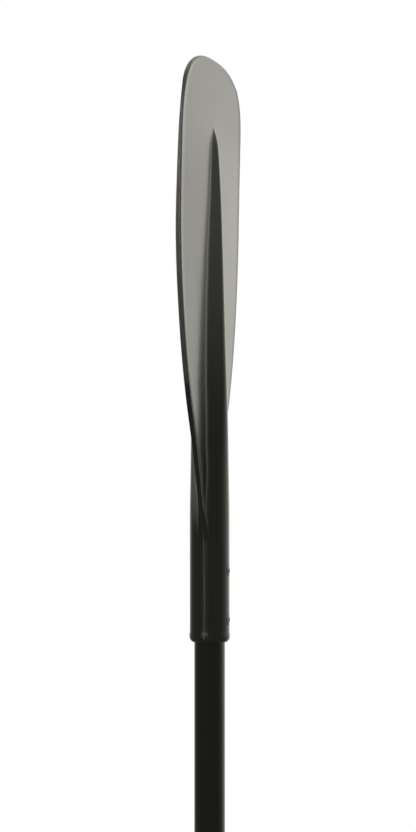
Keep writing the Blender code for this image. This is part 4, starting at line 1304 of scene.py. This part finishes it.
@dataclass
class GripSection:
    """The sliding section: the grip shaft, the T-grip and the rivet that joins them."""

    bore: float = 10.7
    bottom: float = 30.0
    top: float = 742.0
    groove_width: float = 3.0
    groove_depth: float = 0.8
    bar_length: float = 112.0
    bar_radius: float = 15.5
    bar_height: float = 14.5
    socket_radius: float = 16.5
    socket_top: float = 85.0
    socket_bore: float = 13.0
    socket_round: float = 1.2
    wall_from: float = 0.565
    voxel: float = 0.8
    rivet_height: float = 62.0
    sides: int = 96
    bar_shape: Stations = (
        (0, 1), (0.48, 0.99), (0.74, 0.943), (0.877, 0.866), (0.923, 0.732), (0.968, 0.393),
        (1, 0),
    )
    flare: Stations = (
        (0.85, 0.141), (1.21, 0.282), (1.115, 0.365), (1.042, 0.447), (1, 0.565),
    )

    def shaft(self) -> None:
        """The inner tube, with the groove that keeps it from turning."""
        profile = tube_profile(GRIP_TUBE_RADIUS, self.bore, self.top - self.bottom, 0.3)
        tube = turned("grip_shaft_tube", profile, 128, (0, 0, self.bottom), hollow=True)
        half, floor = self.groove_width / 2, self.groove_depth - GRIP_TUBE_RADIUS
        cut(
            tube,
            block((-half, -GRIP_TUBE_RADIUS - 5, self.bottom - 5), (half, floor, self.top + 5)),
            drilled(RIVET_HOLE, 8, (0, 8, self.rivet_height), Axis.BACK),
        )
        dress(tube, BLACK_TUBE, "grip_shaft", Body.GRIP_SECTION)

    def bar(self) -> Object:
        """The grip's bar, turned about X and cut flat below."""
        half, radius = self.bar_length / 2, self.bar_radius
        shape = sorted((along * half, across * radius) for across, along in self.bar_shape)
        right = [(curve(shape, x), x) for x in spread(0, half * 0.97, 2)]
        right += [(across * radius, along * half) for across, along in self.bar_shape[1::-1]]
        profile = [(across, -x) for across, x in reversed(right[1:])] + right
        bar = turned("grip", profile, self.sides, (0, 0, self.bar_height), Axis.RIGHT)
        cut(bar, block((-80, -30, -10), (80, 30, 0)))
        return bar

    def grip(self) -> None:
        """The T-grip: bar and socket melted into one skin, then bored and spot faced."""
        radius, top, edge = self.socket_radius, self.socket_top, self.socket_round
        flare = [(height * top, share * radius) for share, height in self.flare]
        low = flare[0][0]
        wall = [
            (0, low), *((curve(flare, z), z) for z in spread(low, flare[-1][0], 1)),
            (radius, top * self.wall_from),
            *quarter((radius - edge, top - edge), (edge, edge), 0, 5), (0, top),
        ]
        bar = self.bar()
        combine(bar, "UNION", turned("socket", wall, self.sides, (0, 0, 0)))
        apply_modifier(bar, "REMESH", mode="VOXEL", voxel_size=self.voxel * MM, adaptivity=0)
        apply_modifier(bar, "SMOOTH", factor=0.5, iterations=8)
        bore = (0, 0, self.bottom - 0.3)
        cut(
            bar, drilled(self.socket_bore, top, bore, Axis.UP, sides=self.sides),
            drilled(RIVET_SEAT_RADIUS, 6, (0, radius - 1.1, self.rivet_height), Axis.BACK),
            drilled(RIVET_HOLE, 12, (0, 9, self.rivet_height), Axis.BACK),
        )
        dress(bar, BLADE_NYLON, "t_grip", Body.GRIP_SECTION)

    def build(self) -> None:
        """Builds every piece."""
        self.shaft()
        self.grip()
        seat = self.socket_radius - 0.8
        body, axis = Body.GRIP_SECTION, Axis.BACK
        BlindRivet("grip_rivet", body, axis, seat, self.rivet_height, self.bore).build()


def dress_inner_nodes() -> None:
    """Gives the hidden CAD nodes their materials."""
    looks = {
        "blade_shaft_float": FOAM, "grip_shaft_float": FOAM, "joint_ferrule": CLAMP_NYLON,
        "ferrule_plug": RUBBER, "shaft_guide": CLAMP_NYLON,
    }
    for name, finish in looks.items():
        for place in bpy.data.objects[name].material_slots:
            place.material = finish.build()


# Studio


@dataclass
class Studio:
    """A pale floor, soft light and the photograph's camera."""

    aim: Point = (-0.00043, 0.00152, 1.3145)
    look: Point = (0.9626, 0.2710, 0.0)
    distance: float = 1.74
    lens: float = 79.9
    wall: Point = (0.995, -0.1, 1.0)
    wall_levels: Stations = (
        (-1, 0.18), (-0.2, 0.2), (0, 0.22), (0.17, 0.3), (0.34, 0.47), (0.44, 0.55), (0.6, 0.78),
        (0.87, 1.15), (0.95, 1.5), (1, 1.5),
    )
    softbox: Point = (-0.934, 0.261, 0.242)
    softbox_levels: Stations = ((-1, 0), (0.972, 0), (0.98, 11), (1, 12))
    tint: Point = (1.0, 0.985, 0.9)
    fill_light: float = 0.8
    floor_radius: float = 3.4
    floor_fade: Station = (0.9, 3.2)
    floor_colour: str = "#ebebea"

    def camera(self) -> None:
        """Sets the camera level, nearly edge-on to the blade."""
        data = bpy.data.cameras.new("camera")
        data.lens = self.lens
        data.sensor_width = 36.0
        camera = bpy.data.objects.new("camera", data)
        bpy.context.scene.collection.objects.link(camera)
        look = Vector(self.look).normalized()
        camera.location = Vector(self.aim) - look * self.distance
        camera.rotation_euler = look.to_track_quat("-Z", "Y").to_euler()
        bpy.context.scene.camera = camera

    def lobe(
        self, tree: NodeTree, way: NodeSocket, middle: Point, levels: Stations
    ) -> NodeSocket:
        """The brightness of one part of the studio, by how near a direction is to its middle.

        Args:
            tree: The world's tree.
            way: The direction looked in.
            middle: The direction of the part's middle.
            levels: (nearness from -1 to 1, brightness) pairs, the last one the brightest.

        Returns:
            The brightness.
        """
        dot = add_node(tree, "VectorMath", {0: way, 1: middle}, operation="DOT_PRODUCT")
        reach = {"Value": dot.outputs["Value"], "From Min": -1.0, "From Max": 1.0}
        share = add_node(tree, "MapRange", reach).outputs["Result"]
        most = levels[-1][1]
        grey = grey_ramp(tree, share, [((near + 1) / 2, level / most) for near, level in levels])
        return add_node(tree, "Math", {0: grey, 1: most}, operation="MULTIPLY").outputs["Value"]

    def world(self) -> None:
        """A white backdrop, an even light, and a studio that glossy pieces show."""
        world = bpy.data.worlds.new("studio")
        bpy.context.scene.world = world
        world.use_nodes = True
        tree = world.node_tree
        tree.nodes.clear()
        way = add_node(tree, "TexCoord").outputs["Generated"]
        parts = {
            0: self.lobe(tree, way, self.wall, self.wall_levels),
            1: self.lobe(tree, way, self.softbox, self.softbox_levels),
        }
        glow = add_node(tree, "Math", parts, operation="ADD").outputs["Value"]
        gloss, plain, white = (
            add_node(tree, "Background", {"Color": (*tint, 1.0), "Strength": strength})
            for tint, strength in (
                (self.tint, glow), ((1.0, 1.0, 1.0), self.fill_light), ((1.0, 1.0, 1.0), 1.0),
            )
        )
        path = add_node(tree, "LightPath").outputs
        rays = {0: path["Is Glossy Ray"], 1: path["Is Transmission Ray"]}
        shiny = add_node(tree, "Math", rays, operation="MAXIMUM").outputs["Value"]
        seen = plain.outputs["Background"]
        for share, other in ((shiny, gloss), (path["Is Camera Ray"], white)):
            mixed = {0: share, 1: seen, 2: other.outputs["Background"]}
            seen = add_node(tree, "MixShader", mixed).outputs["Shader"]
        add_node(tree, "OutputWorld", {"Surface": seen})

    def floor(self) -> None:
        """A wide pale disc under the paddle, which fades to the white backdrop.

        It rides with the grip, which stands on it, and mirrors don't show it.
        """
        floor = start("circle", vertices=96, radius=self.floor_radius, fill_type="NGON")
        bpy.ops.object.mode_set(mode="OBJECT")
        floor.name = "floor"
        # Pale matt board: a wide even sweep that takes the paddle's soft shadow.
        pale = bpy.data.materials.new("pale_floor")
        pale.use_nodes = True
        tree = pale.node_tree
        shader = tree.nodes["Principled BSDF"]
        fill(tree, shader, {"Base Color": linear(self.floor_colour), "Roughness": 0.9})
        place = add_node(tree, "TexCoord").outputs["Object"]
        away = add_node(tree, "VectorMath", {0: place}, operation="LENGTH").outputs["Value"]
        near, far = self.floor_fade
        reach = {"Value": away, "From Min": near, "From Max": far}
        fade = add_node(tree, "MapRange", reach, interpolation_type="SMOOTHSTEP")
        camera = add_node(tree, "LightPath").outputs["Is Camera Ray"]
        shown = {0: fade.outputs["Result"], 1: camera}
        share = add_node(tree, "Math", shown, operation="MULTIPLY").outputs["Value"]
        white = add_node(tree, "Emission").outputs["Emission"]
        faded = add_node(tree, "MixShader", {0: share, 1: shader.outputs["BSDF"], 2: white})
        fill(tree, tree.nodes["Material Output"], {"Surface": faded.outputs["Shader"]})
        floor.data.materials.append(pale)
        floor.visible_glossy = False
        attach(floor, Body.GRIP_SECTION.value)

    def build(self) -> None:
        """Sets up the whole studio."""
        self.camera()
        self.world()
        self.floor()
        bpy.context.scene.view_settings.view_transform = "Standard"


def main() -> None:
    """Builds the paddle's pieces in order, then the studio."""
    logging.basicConfig(level=logging.INFO, format="%(message)s")
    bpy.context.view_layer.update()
    blade = BladeMoulding()
    blade.build()
    seat = blade.neck_radius - 0.8
    for word, height in NECK_RIVETS.items():
        name, body, level = f"neck_rivet_{word}", Body.SHAFT_AND_BLADE, NECK_MOUTH + height
        BlindRivet(name, body, Axis.FRONT, seat, level, TUBE_BORE).build()
    for part in (Shafts(), Clamp(), GripSection()):
        part.build()
    dress_inner_nodes()
    Studio().build()
    LOG.info("paddle ready")


if __name__ == "__main__":
    main()
